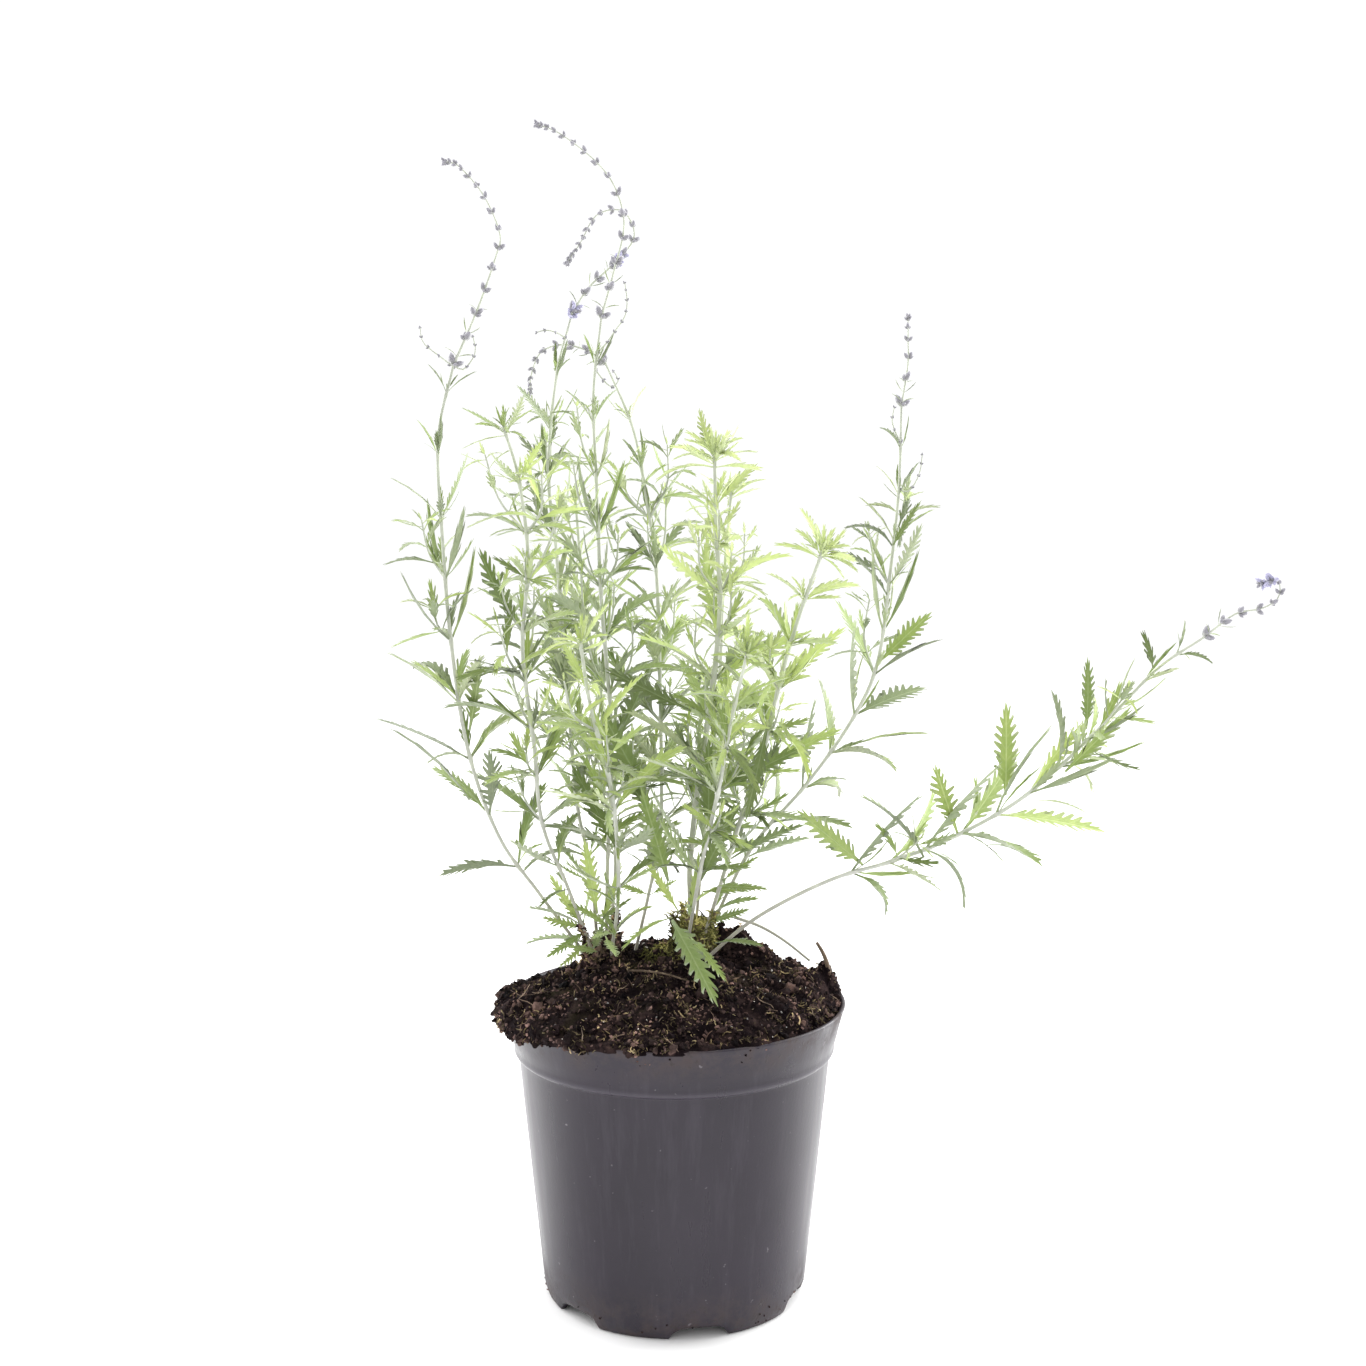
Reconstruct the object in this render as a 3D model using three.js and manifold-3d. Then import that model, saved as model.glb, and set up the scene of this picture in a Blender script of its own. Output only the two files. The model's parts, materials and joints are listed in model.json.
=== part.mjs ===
// A potted russian sage: a nursery pot full of peat, two woody crowns in it, thirteen square
// stems, six thin flower spikes and toothed leaves in opposite pairs.
// Millimetres, +Z up. The origin is the centre of the foot of the pot, on the ground.
import * as THREE from 'three';
import { mergeVertices } from 'three/addons/utils/BufferGeometryUtils.js';
import Module from 'manifold-3d';

const wasm = await Module();
wasm.setup();

// The pot: 170 across the rim and 150 high.
const ROUND = 48;
const SOIL_ROUND = 32;
const POT_HEIGHT = 150;
const RIM_RADIUS = 85;
const BAND_FOOT = 126;
const FOOT_RADIUS = 63;
const NOTCH_COUNT = 6;
const NOTCH_WIDTH = 28;
const NOTCH_HEIGHT = 5.5;
const NOTCH_TURN = -78.6;
const DRAIN_RADIUS = 4;
const DRAIN_CIRCLE = 53;
const PLATE = 1.6;
const CHANNEL_HEIGHT = 3.6;
const CHANNEL_TOP = CHANNEL_HEIGHT + PLATE;

// The gap kept between neighbouring pieces.
const GAP = 0.35;

// The peat mound, and the two crowns that stand in it: centre, lowest and highest point.
const MOUND_RISE = 21;
const CROWN_RADIUS = 11;
const CROWNS = {
  left: { centre: [-35, 3], from: 159, to: 183 },
  right: { centre: [9, 12], from: 163, to: 190 },
};

// Leaves.
const LEAF_THICKNESS = 0.8;
const LEAF_WIDTH = 0.31;
const COLLAR_HEIGHT = 2.4;
const COLLAR_WALL = 0.9;
const COLLAR_SIDES = 6;

// Stems and spikes.
const STEM_STEP = 20;
const RACHIS_STEP = 9;
const WHORL_STEP = 11;
const SPIKE_GAP = 0.75;

const STEM_COLOUR = 0xb9bfae;
const LEAF_COLOUR = 0x7fa650;
const TIP_COLOUR = 0xb9d66b;
const FLOWER_COLOUR = 0x8f86c4;

// Each shoot: the points that its stem passes through, the stem's radius at both ends, the
// spike that goes on from its top, and its leaf nodes. The nodes run from one share of the
// stem to another, every node a quarter turn on from the last, and size is the longest leaf.
// solid lists the nodes whose leaf pair is modelled here.
const SHOOTS = {
  far_left: {
    stem: [[-41, 2, 168], [-67, -2, 205], [-86, -5, 234], [-100, -9, 277], [-107, -13, 329],
      [-110, -17, 379], [-111, -21, 428], [-103, -24, 463]],
    radii: [1.7, 0.8],
    spike: [[-103, -24, 463], [-91, -27, 489], [-82, -29, 513], [-80, -30, 523],
      [-87, -32, 540], [-98, -33, 553], [-104, -34, 555]],
    nodes: { from: 0.2, to: 0.96, count: 9, turn: 35, size: 50 },
    solid: [0, 2, 4, 6],
  },
  left: {
    stem: [[-38, -3, 168], [-52, -7, 208], [-64, -16, 243], [-67, -27, 285], [-71, -39, 331],
      [-67, -52, 374], [-70, -64, 412], [-76, -72, 436]],
    radii: [1.7, 0.8],
    nodes: { from: 0.2, to: 0.99, count: 10, turn: 60, size: 46 },
    solid: [2, 5, 8],
  },
  back_left: {
    stem: [[-38, 8, 168], [-42, 14, 213], [-49, 19, 247], [-54, 27, 307], [-59, 35, 370],
      [-63, 41, 410], [-59, 47, 457], [-51, 52, 489]],
    radii: [1.7, 0.7],
    spike: [[-51, 52, 489], [-42, 54, 502], [-28, 57, 515], [-20, 59, 527], [-26, 60, 539],
      [-39, 62, 537], [-47, 64, 524], [-54, 66, 514]],
    nodes: { from: 0.16, to: 0.9, count: 10, turn: 20, size: 48 },
    solid: [3, 6],
  },
  tall: {
    stem: [[-34, 4, 168], [-33, 1, 221], [-31, -1, 255], [-31, -3, 294], [-35, -8, 351],
      [-37, -12, 409], [-38, -16, 449], [-34, -19, 485]],
    radii: [1.8, 0.7],
    spike: [[-34, -19, 485], [-28, -21, 506], [-23, -24, 527], [-27, -25, 544], [-36, -27, 556],
      [-52, -29, 568], [-62, -30, 572]],
    nodes: { from: 0.18, to: 0.93, count: 10, turn: 50, size: 48 },
    solid: [2, 5, 8],
  },
  middle: {
    stem: [[-22, 9, 162], [-13, 14, 200], [-7, 20, 232], [-7, 30, 288], [-9, 43, 358],
      [-14, 49, 395], [-21, 56, 431], [-35, 62, 464]],
    radii: [1.6, 0.7],
    spike: [[-35, 62, 464], [-44, 64, 470], [-57, 66, 473], [-68, 68, 469], [-73, 70, 458],
      [-74, 72, 449]],
    nodes: { from: 0.16, to: 0.9, count: 10, turn: 70, size: 46 },
    solid: [3, 7],
  },
  rear_left: {
    stem: [[-33, 9, 168], [-30, 30, 222], [-37, 54, 284], [-47, 76, 342], [-52, 92, 392]],
    radii: [1.6, 0.9],
    nodes: { from: 0.22, to: 0.99, count: 8, turn: 10, size: 46 },
    solid: [2, 5],
  },
  front_left: {
    stem: [[-32, -3, 168], [-27, -20, 212], [-29, -44, 262], [-38, -66, 308], [-42, -80, 340]],
    radii: [1.6, 0.9],
    nodes: { from: 0.25, to: 0.99, count: 7, turn: 30, size: 44 },
    solid: [2, 4],
  },
  bushy: {
    stem: [[9, 13, 174], [8, 13, 197], [8, 11, 220], [12, 5, 259], [18, -3, 302],
      [22, -13, 347], [20, -23, 386], [19, -32, 422]],
    radii: [2.2, 0.9],
    nodes: { from: 0.2, to: 0.99, count: 10, turn: 25, size: 50 },
    solid: [2, 4, 7],
  },
  right: {
    stem: [[14, 12, 174], [38, 14, 223], [66, 17, 256], [88, 20, 287], [101, 22, 316],
      [107, 25, 361], [111, 28, 402], [112, 31, 443]],
    radii: [1.7, 0.7],
    spike: [[112, 31, 443], [115, 32, 463], [115, 33, 475], [115, 34, 486]],
    nodes: { from: 0.17, to: 0.93, count: 11, turn: 40, size: 48 },
    solid: [2, 4, 7, 9],
  },
  right_bushy: {
    stem: [[13, 6, 174], [31, -8, 238], [41, -25, 273], [51, -48, 323], [59, -64, 355],
      [67, -78, 381]],
    radii: [1.8, 0.9],
    nodes: { from: 0.22, to: 0.99, count: 8, turn: 35, size: 48 },
    solid: [2, 5],
  },
  rear_right: {
    stem: [[10, 18, 174], [16, 44, 232], [23, 72, 296], [26, 94, 352], [30, 108, 396]],
    radii: [1.6, 0.9],
    nodes: { from: 0.22, to: 0.99, count: 8, turn: 65, size: 46 },
    solid: [2, 5],
  },
  front_right: {
    stem: [[6, 6, 174], [13, -20, 222], [21, -48, 266], [27, -72, 306], [33, -90, 336]],
    radii: [1.6, 0.9],
    nodes: { from: 0.27, to: 0.99, count: 6, turn: 15, size: 44 },
    solid: [1, 3],
  },
  arching: {
    stem: [[11, -5, 168], [40, -6, 193], [76, -13, 214], [107, -18, 225], [136, -22, 238],
      [169, -29, 260], [201, -36, 293], [226, -42, 322], [247, -46, 338]],
    radii: [1.8, 0.7],
    spike: [[247, -46, 338], [260, -49, 349], [272, -51, 352], [279, -52, 357],
      [278, -54, 365], [270, -55, 364]],
    nodes: { from: 0.31, to: 0.95, count: 11, turn: 20, size: 54 },
    solid: [0, 2, 4, 6],
  },
};

const group = new THREE.Group();

// A closed three.js geometry as a solid that can be cut and joined.
function solid(geometry) {
  const bare = geometry.clone();
  bare.deleteAttribute('normal');
  bare.deleteAttribute('uv');
  const merged = mergeVertices(bare, 1e-4);
  const vertProperties = new Float32Array(merged.attributes.position.array);
  const triVerts = new Uint32Array(merged.index.array);
  return new wasm.Manifold(new wasm.Mesh({ numProp: 3, vertProperties, triVerts }));
}

function addPiece(name, shape, colour, roughness) {
  const { vertProperties, triVerts } = shape.getMesh();
  const geometry = new THREE.BufferGeometry();
  geometry.setAttribute('position', new THREE.BufferAttribute(vertProperties, 3));
  geometry.setIndex(new THREE.BufferAttribute(triVerts, 1));
  geometry.computeVertexNormals();
  const material = new THREE.MeshStandardMaterial({ color: colour, roughness, metalness: 0 });
  const mesh = new THREE.Mesh(geometry, material);
  mesh.name = name;
  group.add(mesh);
}

// A turned piece: the profile is radius and height, turned about Z.
function turned(profile, segments) {
  const points = profile.map(([radius, height]) => new THREE.Vector2(radius, height));
  return new THREE.LatheGeometry(points, segments).rotateX(Math.PI / 2);
}

function curveThrough(points) {
  const places = points.map(([x, y, z]) => new THREE.Vector3(x, y, z));
  return new THREE.CatmullRomCurve3(places, false, 'catmullrom', 0.5);
}

// A square rod along a path, its corner radius going evenly from one end's to the other's.
function rod(path, steps, [first, last], extra = 0) {
  const corners = [[1, 0], [0, 1], [-1, 0], [0, -1]].map(([x, y]) => new THREE.Vector2(x, y));
  const rodShape = new THREE.ExtrudeGeometry(new THREE.Shape(corners), {
    steps,
    extrudePath: path,
    bevelEnabled: false,
  });
  const centres = path.getSpacedPoints(steps);
  const position = rodShape.attributes.position;
  const corner = new THREE.Vector3();
  for (let i = 0; i < position.count; i += 1) {
    corner.fromBufferAttribute(position, i);
    const distances = centres.map((centre) => centre.distanceToSquared(corner));
    const at = distances.indexOf(Math.min(...distances));
    const radius = first + (last - first) * (at / steps) + extra;
    corner.sub(centres[at]).multiplyScalar(radius).add(centres[at]);
    position.setXYZ(i, corner.x, corner.y, corner.z);
  }
  return rodShape;
}

function stemSteps(path) {
  return Math.round(path.getLength() / STEM_STEP);
}

// The pot: wall, outward-leaning rim band above a small ledge, and a floor whose flat middle
// stands on the ground. Round the middle runs a raised channel with the drain holes, and the
// foot ring outside it is cut by arched notches that let the water out.
function makePot() {
  const profile = [
    [0, 0], [46, 0], [47.5, CHANNEL_HEIGHT], [59.5, CHANNEL_HEIGHT], [60.3, 0],
    [FOOT_RADIUS, 0], [64.6, 2.2], [66, 9],
    [77.5, BAND_FOOT - 0.6], [78.8, BAND_FOOT + 0.4], [82.2, 138.5],
    [RIM_RADIUS, POT_HEIGHT - 0.8], [84.6, POT_HEIGHT],
    [82.6, POT_HEIGHT], [80.2, 139], [77.4, BAND_FOOT + 0.5], [75.9, 122.5],
    [64.4, 9.5], [61.8, CHANNEL_TOP], [46.4, CHANNEL_TOP], [44.9, PLATE], [0, PLATE],
  ];
  let pot = solid(turned(profile, ROUND));
  const half = NOTCH_WIDTH / 2;
  const arch = new THREE.Shape([
    [-half, -2], [half, -2], [half, 0], [half * 0.82, NOTCH_HEIGHT * 0.72],
    [half * 0.45, NOTCH_HEIGHT], [-half * 0.45, NOTCH_HEIGHT],
    [-half * 0.82, NOTCH_HEIGHT * 0.72], [-half, 0],
  ].map(([x, y]) => new THREE.Vector2(x, y)));
  for (let i = 0; i < NOTCH_COUNT; i += 1) {
    const turn = THREE.MathUtils.degToRad(NOTCH_TURN + (i * 360) / NOTCH_COUNT);
    const notch = new THREE.ExtrudeGeometry(arch, { depth: 14, bevelEnabled: false });
    notch.translate(0, 0, 58.4).rotateX(Math.PI / 2).rotateZ(turn + Math.PI / 2);
    pot = pot.subtract(solid(notch));
    const drain = new THREE.CylinderGeometry(DRAIN_RADIUS, DRAIN_RADIUS, 8, 10);
    drain.rotateX(Math.PI / 2).translate(DRAIN_CIRCLE, 0, 5).rotateZ(turn);
    pot = pot.subtract(solid(drain));
  }
  return pot;
}

// The peat fills the pot, covers its rim and stands above it as a lumpy mound.
function makeSoil() {
  const profile = [
    [0, PLATE + GAP], [44.4, PLATE + GAP], [45.9, CHANNEL_TOP + GAP],
    [61.2, CHANNEL_TOP + GAP], [63.9, 9.8], [75.4, 122.8], [76.9, 126.9], [79.7, 139.3],
    [82.1, POT_HEIGHT + GAP], [85.4, POT_HEIGHT + GAP], [86.6, 152.6], [82, 156.5],
    [72, 160.5], [58, 164], [42, 168], [24, 172], [0, POT_HEIGHT + MOUND_RISE + 3],
  ];
  const soil = turned(profile, SOIL_ROUND);
  const position = soil.attributes.position;
  for (let i = 0; i < position.count; i += 1) {
    const x = position.getX(i);
    const y = position.getY(i);
    const z = position.getZ(i);
    if (z > POT_HEIGHT + 1) {
      const lump = 1.5 * Math.sin(x * 0.13 + 1) * Math.cos(y * 0.11) + Math.sin(x * 0.31 - y * 0.27);
      const spread = 1 + 0.02 * Math.sin(Math.atan2(y, x) * 7 + 0.6) + (x < -60 ? 0.015 : 0);
      position.setXYZ(i, x * spread, y * spread, z + lump);
    }
  }
  return solid(soil);
}

// A leaf blade along +X, lying flat, with forward-pointing teeth, drooping toward its tip.
function makeBlade(length) {
  const half = (length * LEAF_WIDTH) / 2;
  const edge = [[0, 0.9], [0.17, 1.1]];
  const teeth = [[0.34, 0.95], [0.54, 1], [0.73, 0.72]];
  for (const [along, reach] of teeth) {
    edge.push([along, half * reach], [along - 0.02, half * reach * 0.48]);
  }
  const upper = edge.map(([along, across]) => new THREE.Vector2(along * length, across));
  const lower = upper.map((point) => new THREE.Vector2(point.x, -point.y)).reverse();
  const outline = new THREE.Shape([...lower, ...upper, new THREE.Vector2(length, 0)].reverse());
  const blade = new THREE.ExtrudeGeometry(outline, { depth: LEAF_THICKNESS, bevelEnabled: false });
  blade.translate(0, 0, -LEAF_THICKNESS / 2);
  const position = blade.attributes.position;
  for (let i = 0; i < position.count; i += 1) {
    const along = position.getX(i) / length;
    position.setZ(i, position.getZ(i) - 0.14 * length * along * along);
  }
  return blade;
}

// Leaf length at a share of the stem: shorter leaves low down and toward the top.
function leafLength(shoot, share) {
  const top = shoot.spike ? 0.32 : 0.5;
  const rise = THREE.MathUtils.smoothstep(share, 0.05, 0.35) * 0.3 + 0.7;
  const fall = 1 - (1 - top) * THREE.MathUtils.smoothstep(share, 0.5, 1);
  return shoot.nodes.size * rise * fall;
}

// The two leaves of one node, on the thin collar that joins their feet round the stem.
function makeLeafPair(shoot, path, index) {
  const { from, to, count, turn } = shoot.nodes;
  const share = from + ((to - from) * index) / (count - 1);
  const steps = stemSteps(path);
  const stretch = Math.min(Math.floor(share * steps), steps - 1);
  const [below, above] = path.getSpacedPoints(steps).slice(stretch, stretch + 2);
  const place = below.clone().lerp(above, share * steps - stretch);
  const along = above.clone().sub(below).normalize();
  const side = new THREE.Vector3().crossVectors(along, new THREE.Vector3(0, 1, 0)).normalize();
  const front = new THREE.Vector3().crossVectors(along, side);
  const stemRadius = THREE.MathUtils.lerp(shoot.radii[0], shoot.radii[1], share);
  const inner = (stemRadius + GAP) / Math.cos(Math.PI / COLLAR_SIDES);
  const outer = inner + COLLAR_WALL;
  const half = COLLAR_HEIGHT / 2;
  const ring = new THREE.LatheGeometry([
    [inner, -half], [outer, -half], [outer, half], [inner, half], [inner, -half],
  ].map(([x, y]) => new THREE.Vector2(x, y)), COLLAR_SIDES);
  const upright = new THREE.Quaternion().setFromUnitVectors(new THREE.Vector3(0, 1, 0), along);
  ring.applyQuaternion(upright).translate(place.x, place.y, place.z);
  let pair = solid(ring);
  for (const opposite of [0, 180]) {
    const angle = THREE.MathUtils.degToRad(turn + 90 * index + opposite);
    const out = side.clone().multiplyScalar(Math.cos(angle)).addScaledVector(front, Math.sin(angle));
    const rise = THREE.MathUtils.degToRad(38 + 20 * share);
    const lean = out.clone().multiplyScalar(Math.cos(rise)).addScaledVector(along, Math.sin(rise));
    const upper = along.clone().multiplyScalar(Math.cos(rise)).addScaledVector(out, -Math.sin(rise));
    const across = new THREE.Vector3().crossVectors(upper, lean);
    const foot = place.clone().addScaledVector(out, (inner + outer) / 2);
    const frame = new THREE.Matrix4().makeBasis(lean, across, upper).setPosition(foot);
    pair = pair.add(solid(makeBlade(leafLength(shoot, share)).applyMatrix4(frame)));
  }
  return pair;
}

// A flower spike: a thin square rachis with a small whorl of buds at even steps.
function makeSpike(shoot, stemPath) {
  const path = curveThrough(shoot.spike);
  const length = path.getLength();
  const steps = Math.round(length / RACHIS_STEP);
  const start = stemPath.getPointAt(1).addScaledVector(stemPath.getTangentAt(1), SPIKE_GAP);
  const centres = [start, ...path.getSpacedPoints(steps).slice(1)];
  const rachis = rod(curveThrough(centres.map((p) => p.toArray())), steps, [shoot.radii[1], 0.4]);
  let spike = solid(rachis);
  const whorls = Math.round(length / WHORL_STEP);
  for (let i = 1; i <= whorls; i += 1) {
    const share = (i - 0.5) / whorls;
    const size = 2.3 - 0.9 * share;
    const whorl = new THREE.OctahedronGeometry(1);
    whorl.scale(size, size, size * 0.8).rotateZ(i);
    const at = path.getPointAt(share);
    whorl.translate(at.x, at.y, at.z);
    spike = spike.add(solid(whorl));
  }
  return spike;
}

const pot = makePot();
let soil = makeSoil();
const crowns = {};
for (const [name, { centre, from, to }] of Object.entries(CROWNS)) {
  const half = (to - from) / 2;
  const knob = new THREE.SphereGeometry(1, 10, 6).rotateX(Math.PI / 2);
  const place = [centre[0], centre[1], from + half];
  crowns[name] = solid(knob.clone().scale(CROWN_RADIUS, CROWN_RADIUS, half).translate(...place));
  const socket = knob.clone().scale(CROWN_RADIUS + 0.4, CROWN_RADIUS + 0.4, half + 0.4);
  soil = soil.subtract(solid(socket.translate(...place)));
}

const leafPairs = [];
const stems = [];
const spikes = [];
for (const [name, shoot] of Object.entries(SHOOTS)) {
  const path = curveThrough(shoot.stem);
  const steps = stemSteps(path);
  const stem = solid(rod(path, steps, shoot.radii));
  const foot = new THREE.SphereGeometry(shoot.radii[0] + 1.1, 6, 4).translate(...shoot.stem[0]);
  const socket = solid(rod(path, steps, shoot.radii, 0.48)).add(solid(foot));
  soil = soil.subtract(socket);
  crowns.left = crowns.left.subtract(socket);
  crowns.right = crowns.right.subtract(socket);
  stems.push([`stem_${name}`, stem]);
  for (const index of shoot.solid) {
    leafPairs.push([`leaves_${name}_${index + 1}`, makeLeafPair(shoot, path, index), shoot]);
  }
  if (shoot.spike) {
    spikes.push([`flowers_${name}`, makeSpike(shoot, path)]);
  }
}

addPiece('pot', pot, 0x55505a, 0.45);
addPiece('soil', soil, 0x2b211c, 1);
addPiece('crown_left', crowns.left, 0x5a4a3e, 0.9);
addPiece('crown_right', crowns.right, 0x6b5643, 0.9);
stems.forEach(([name, shape]) => addPiece(name, shape, STEM_COLOUR, 0.7));
spikes.forEach(([name, shape]) => addPiece(name, shape, FLOWER_COLOUR, 0.8));
leafPairs.forEach(([name, shape, shoot]) => {
  addPiece(name, shape, shoot.spike ? LEAF_COLOUR : TIP_COLOUR, 0.6);
});

export default group;
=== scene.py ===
# %% [markdown]
# # A potted russian sage
# The plant stands in a nursery pot. Square, pale stems rise from two woody crowns in dark
# peat. They carry deeply toothed leaves in opposite pairs, each pair a quarter turn on from
# the one below, and six of them end in thin spikes of small violet buds. The solid model
# fixes where the pot, the stems and a part of the leaves are. This script gives each of them
# its real surface and adds the rest of the foliage.

# %% Load the frame
import json
import math
import random

import bmesh
import bpy
from mathutils import Matrix, Vector, noise

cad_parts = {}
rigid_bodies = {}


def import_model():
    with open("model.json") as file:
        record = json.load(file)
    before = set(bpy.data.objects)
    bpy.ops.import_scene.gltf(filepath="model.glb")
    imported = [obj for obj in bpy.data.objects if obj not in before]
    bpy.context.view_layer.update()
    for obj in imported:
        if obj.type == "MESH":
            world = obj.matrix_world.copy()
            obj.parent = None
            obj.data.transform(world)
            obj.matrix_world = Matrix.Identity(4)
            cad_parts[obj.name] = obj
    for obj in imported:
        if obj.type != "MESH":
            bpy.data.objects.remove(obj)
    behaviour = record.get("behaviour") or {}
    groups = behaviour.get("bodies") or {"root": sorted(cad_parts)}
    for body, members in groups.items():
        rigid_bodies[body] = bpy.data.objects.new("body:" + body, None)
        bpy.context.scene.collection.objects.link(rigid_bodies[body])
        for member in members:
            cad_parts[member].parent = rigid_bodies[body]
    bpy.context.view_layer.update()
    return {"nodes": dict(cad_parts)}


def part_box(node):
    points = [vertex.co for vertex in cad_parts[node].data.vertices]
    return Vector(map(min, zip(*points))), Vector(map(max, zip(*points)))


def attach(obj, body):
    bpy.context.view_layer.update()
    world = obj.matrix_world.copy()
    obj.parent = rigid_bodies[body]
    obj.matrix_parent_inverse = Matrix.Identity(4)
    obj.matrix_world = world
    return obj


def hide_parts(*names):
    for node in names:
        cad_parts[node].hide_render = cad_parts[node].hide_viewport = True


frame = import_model()
MM = 0.001

# %% [markdown]
# ## Camera
# The photograph looks slightly down on the pot from about a metre away. The pot's rim, ledge
# and foot are circles of known size, so their ellipses in the picture gave the height, the
# distance, the tilt and the focal length. The picture is square.

# %% Camera
IMAGE_PIXELS = 1366
FOCAL_PIXELS = 2200
CAMERA_PLACE = Vector((4.3, -1062, 468)) * MM
CAMERA_DIP = math.radians(8.49)


def in_scene(name, data):
    """A new object that carries some data, linked to the scene."""
    made = bpy.data.objects.new(name, data)
    bpy.context.scene.collection.objects.link(made)
    return made


camera_data = bpy.data.cameras.new("camera")
camera_data.sensor_width = 36
camera_data.lens = camera_data.sensor_width * FOCAL_PIXELS / IMAGE_PIXELS
camera_data.clip_end = 50
camera = in_scene("camera", camera_data)
camera.location = CAMERA_PLACE
camera.rotation_euler = (math.pi / 2 - CAMERA_DIP, 0, 0)
bpy.context.scene.camera = camera
print("lens", round(camera_data.lens, 1), "mm")

# %% [markdown]
# ## Light and floor
# The photograph was taken in a bright white tent: light comes from all sides and the floor
# melts into the background. A white world does most of that. Two tall soft lamps stand
# behind the plant, left and right. They brighten the edges of the pot and of the leaves, as
# the tent's glowing side walls do. One more lamp hangs above.

# %% Light and floor
WORLD_LIGHT = 1.06
FLOOR_RADIUS = 6
LAMP_AIM = Vector((0, 0, 0.2))
LAMPS = {"side_light_left": ((-1.35, 0.75, 0.75), (1.2, 1.7), 34),
         "side_light_right": ((1.35, 0.75, 0.75), (1.2, 1.7), 44),
         "top_light": ((0.1, 0.2, 2.0), (1.4, 1.4), 14)}


def soft_lamp(name, place, size, power):
    """An area lamp that looks from its place at the plant, in metres and watts."""
    data = bpy.data.lights.new(name, "AREA")
    data.shape = "RECTANGLE"
    data.size, data.size_y = size
    data.energy = power
    lamp = in_scene(name, data)
    lamp.location = place
    lamp.rotation_euler = (LAMP_AIM - Vector(place)).to_track_quat("-Z", "Y").to_euler()


def mesh_of(tool, name):
    """Turns what a bmesh tool holds into a mesh, and frees the tool."""
    mesh = bpy.data.meshes.new(name)
    tool.to_mesh(mesh)
    tool.free()
    return mesh


world = bpy.data.worlds.new("white tent")
world.use_nodes = True
world.node_tree.nodes["Background"].inputs["Color"].default_value = (1, 1, 1, 1)
world.node_tree.nodes["Background"].inputs["Strength"].default_value = WORLD_LIGHT
bpy.context.scene.world = world
bpy.context.scene.view_settings.view_transform = "Standard"
for name, (place, size, power) in LAMPS.items():
    soft_lamp(name, place, size, power)

floor_tool = bmesh.new()
bmesh.ops.create_circle(floor_tool, cap_ends=True, segments=96, radius=FLOOR_RADIUS)
floor = in_scene("floor", mesh_of(floor_tool, "floor"))
floor_material = bpy.data.materials.new("white_floor")
floor_material.use_nodes = True
floor_shader = floor_material.node_tree.nodes["Principled BSDF"]
floor_shader.inputs["Base Color"].default_value = (0.97, 0.97, 0.97, 1)
floor_shader.inputs["Roughness"].default_value = 0.6
floor.data.materials.append(floor_material)
print("world light", WORLD_LIGHT, "and", len(LAMPS), "lamps")

# %% [markdown]
# ## Small tools
# A few helpers keep the node trees short. `put` adds a node, sets its options and fills or
# wires its inputs. `sums`, `carried` and `painted` add what many trees need. `grow` runs a
# Geometry Nodes tree on a carrier object and keeps the result as a plain mesh, so the
# finished plant does not depend on live modifiers.

# %% Small tools
def put(tree, kind, inputs=None, **options):
    """Adds one node. An input is a value, or a socket to wire it to."""
    made = tree.nodes.new(kind)
    for option, value in options.items():
        setattr(made, option, value)
    for name, value in (inputs or {}).items():
        if isinstance(value, bpy.types.NodeSocket):
            tree.links.new(value, made.inputs[name])
        else:
            made.inputs[name].default_value = value
    return made


def sums(tree, way, first, second=0.0, clamp=False):
    """One Math node."""
    made = put(tree, "ShaderNodeMath", {0: first, 1: second}, operation=way, use_clamp=clamp)
    return made.outputs[0]


def carried(tree, name, kind="FLOAT"):
    """A value that the points of the carrier bring along."""
    return put(tree, "GeometryNodeInputNamedAttribute", {"Name": name}, data_type=kind).outputs[0]


def painted(tree, geometry, material):
    """Real faces instead of instances, with their material."""
    real = put(tree, "GeometryNodeRealizeInstances", {"Geometry": geometry})
    return put(tree, "GeometryNodeSetMaterial", {"Geometry": real.outputs[0],
                                                 "Material": material}).outputs[0]


def new_growth(name, inputs):
    """An empty Geometry Nodes tree with named inputs, given as {name: socket type}."""
    tree = bpy.data.node_groups.new(name, "GeometryNodeTree")
    tree.interface.new_socket(name="Geometry", in_out="INPUT", socket_type="NodeSocketGeometry")
    for socket, kind in inputs.items():
        tree.interface.new_socket(name=socket, in_out="INPUT", socket_type=kind)
    tree.interface.new_socket(name="Geometry", in_out="OUTPUT", socket_type="NodeSocketGeometry")
    return tree, put(tree, "NodeGroupInput").outputs


def grow(carrier, tree, values, name):
    """Runs a tree on a carrier object. The carrier goes and a plain mesh object stays."""
    modifier = carrier.modifiers.new("growth", "NODES")
    modifier.node_group = tree
    for item in tree.interface.items_tree:
        if item.item_type == "SOCKET" and item.in_out == "INPUT" and item.name in values:
            modifier[item.identifier] = values[item.name]
    bpy.context.view_layer.update()
    seen = carrier.evaluated_get(bpy.context.evaluated_depsgraph_get())
    mesh = bpy.data.meshes.new_from_object(seen)
    mesh.name = name
    bpy.data.objects.remove(carrier)
    return in_scene(name, mesh)


def row_carrier(name, rows, attributes=None, joined=True):
    """A mesh of bare points, each row joined by edges, with named values on the points."""
    mesh = bpy.data.meshes.new(name)
    edges, first = [], 0
    for row in rows:
        edges += [(first + i, first + i + 1) for i in range(len(row) - 1)] if joined else []
        first += len(row)
    mesh.from_pydata([tuple(p) for row in rows for p in row], edges, [])
    for key, values in (attributes or {}).items():
        wide = isinstance(values[0], Vector)
        layer = mesh.attributes.new(key, "FLOAT_VECTOR" if wide else "FLOAT", "POINT")
        flat = [c for v in values for c in v] if wide else list(values)
        layer.data.foreach_set("vector" if wide else "value", flat)
    return in_scene(name, mesh)


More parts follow.
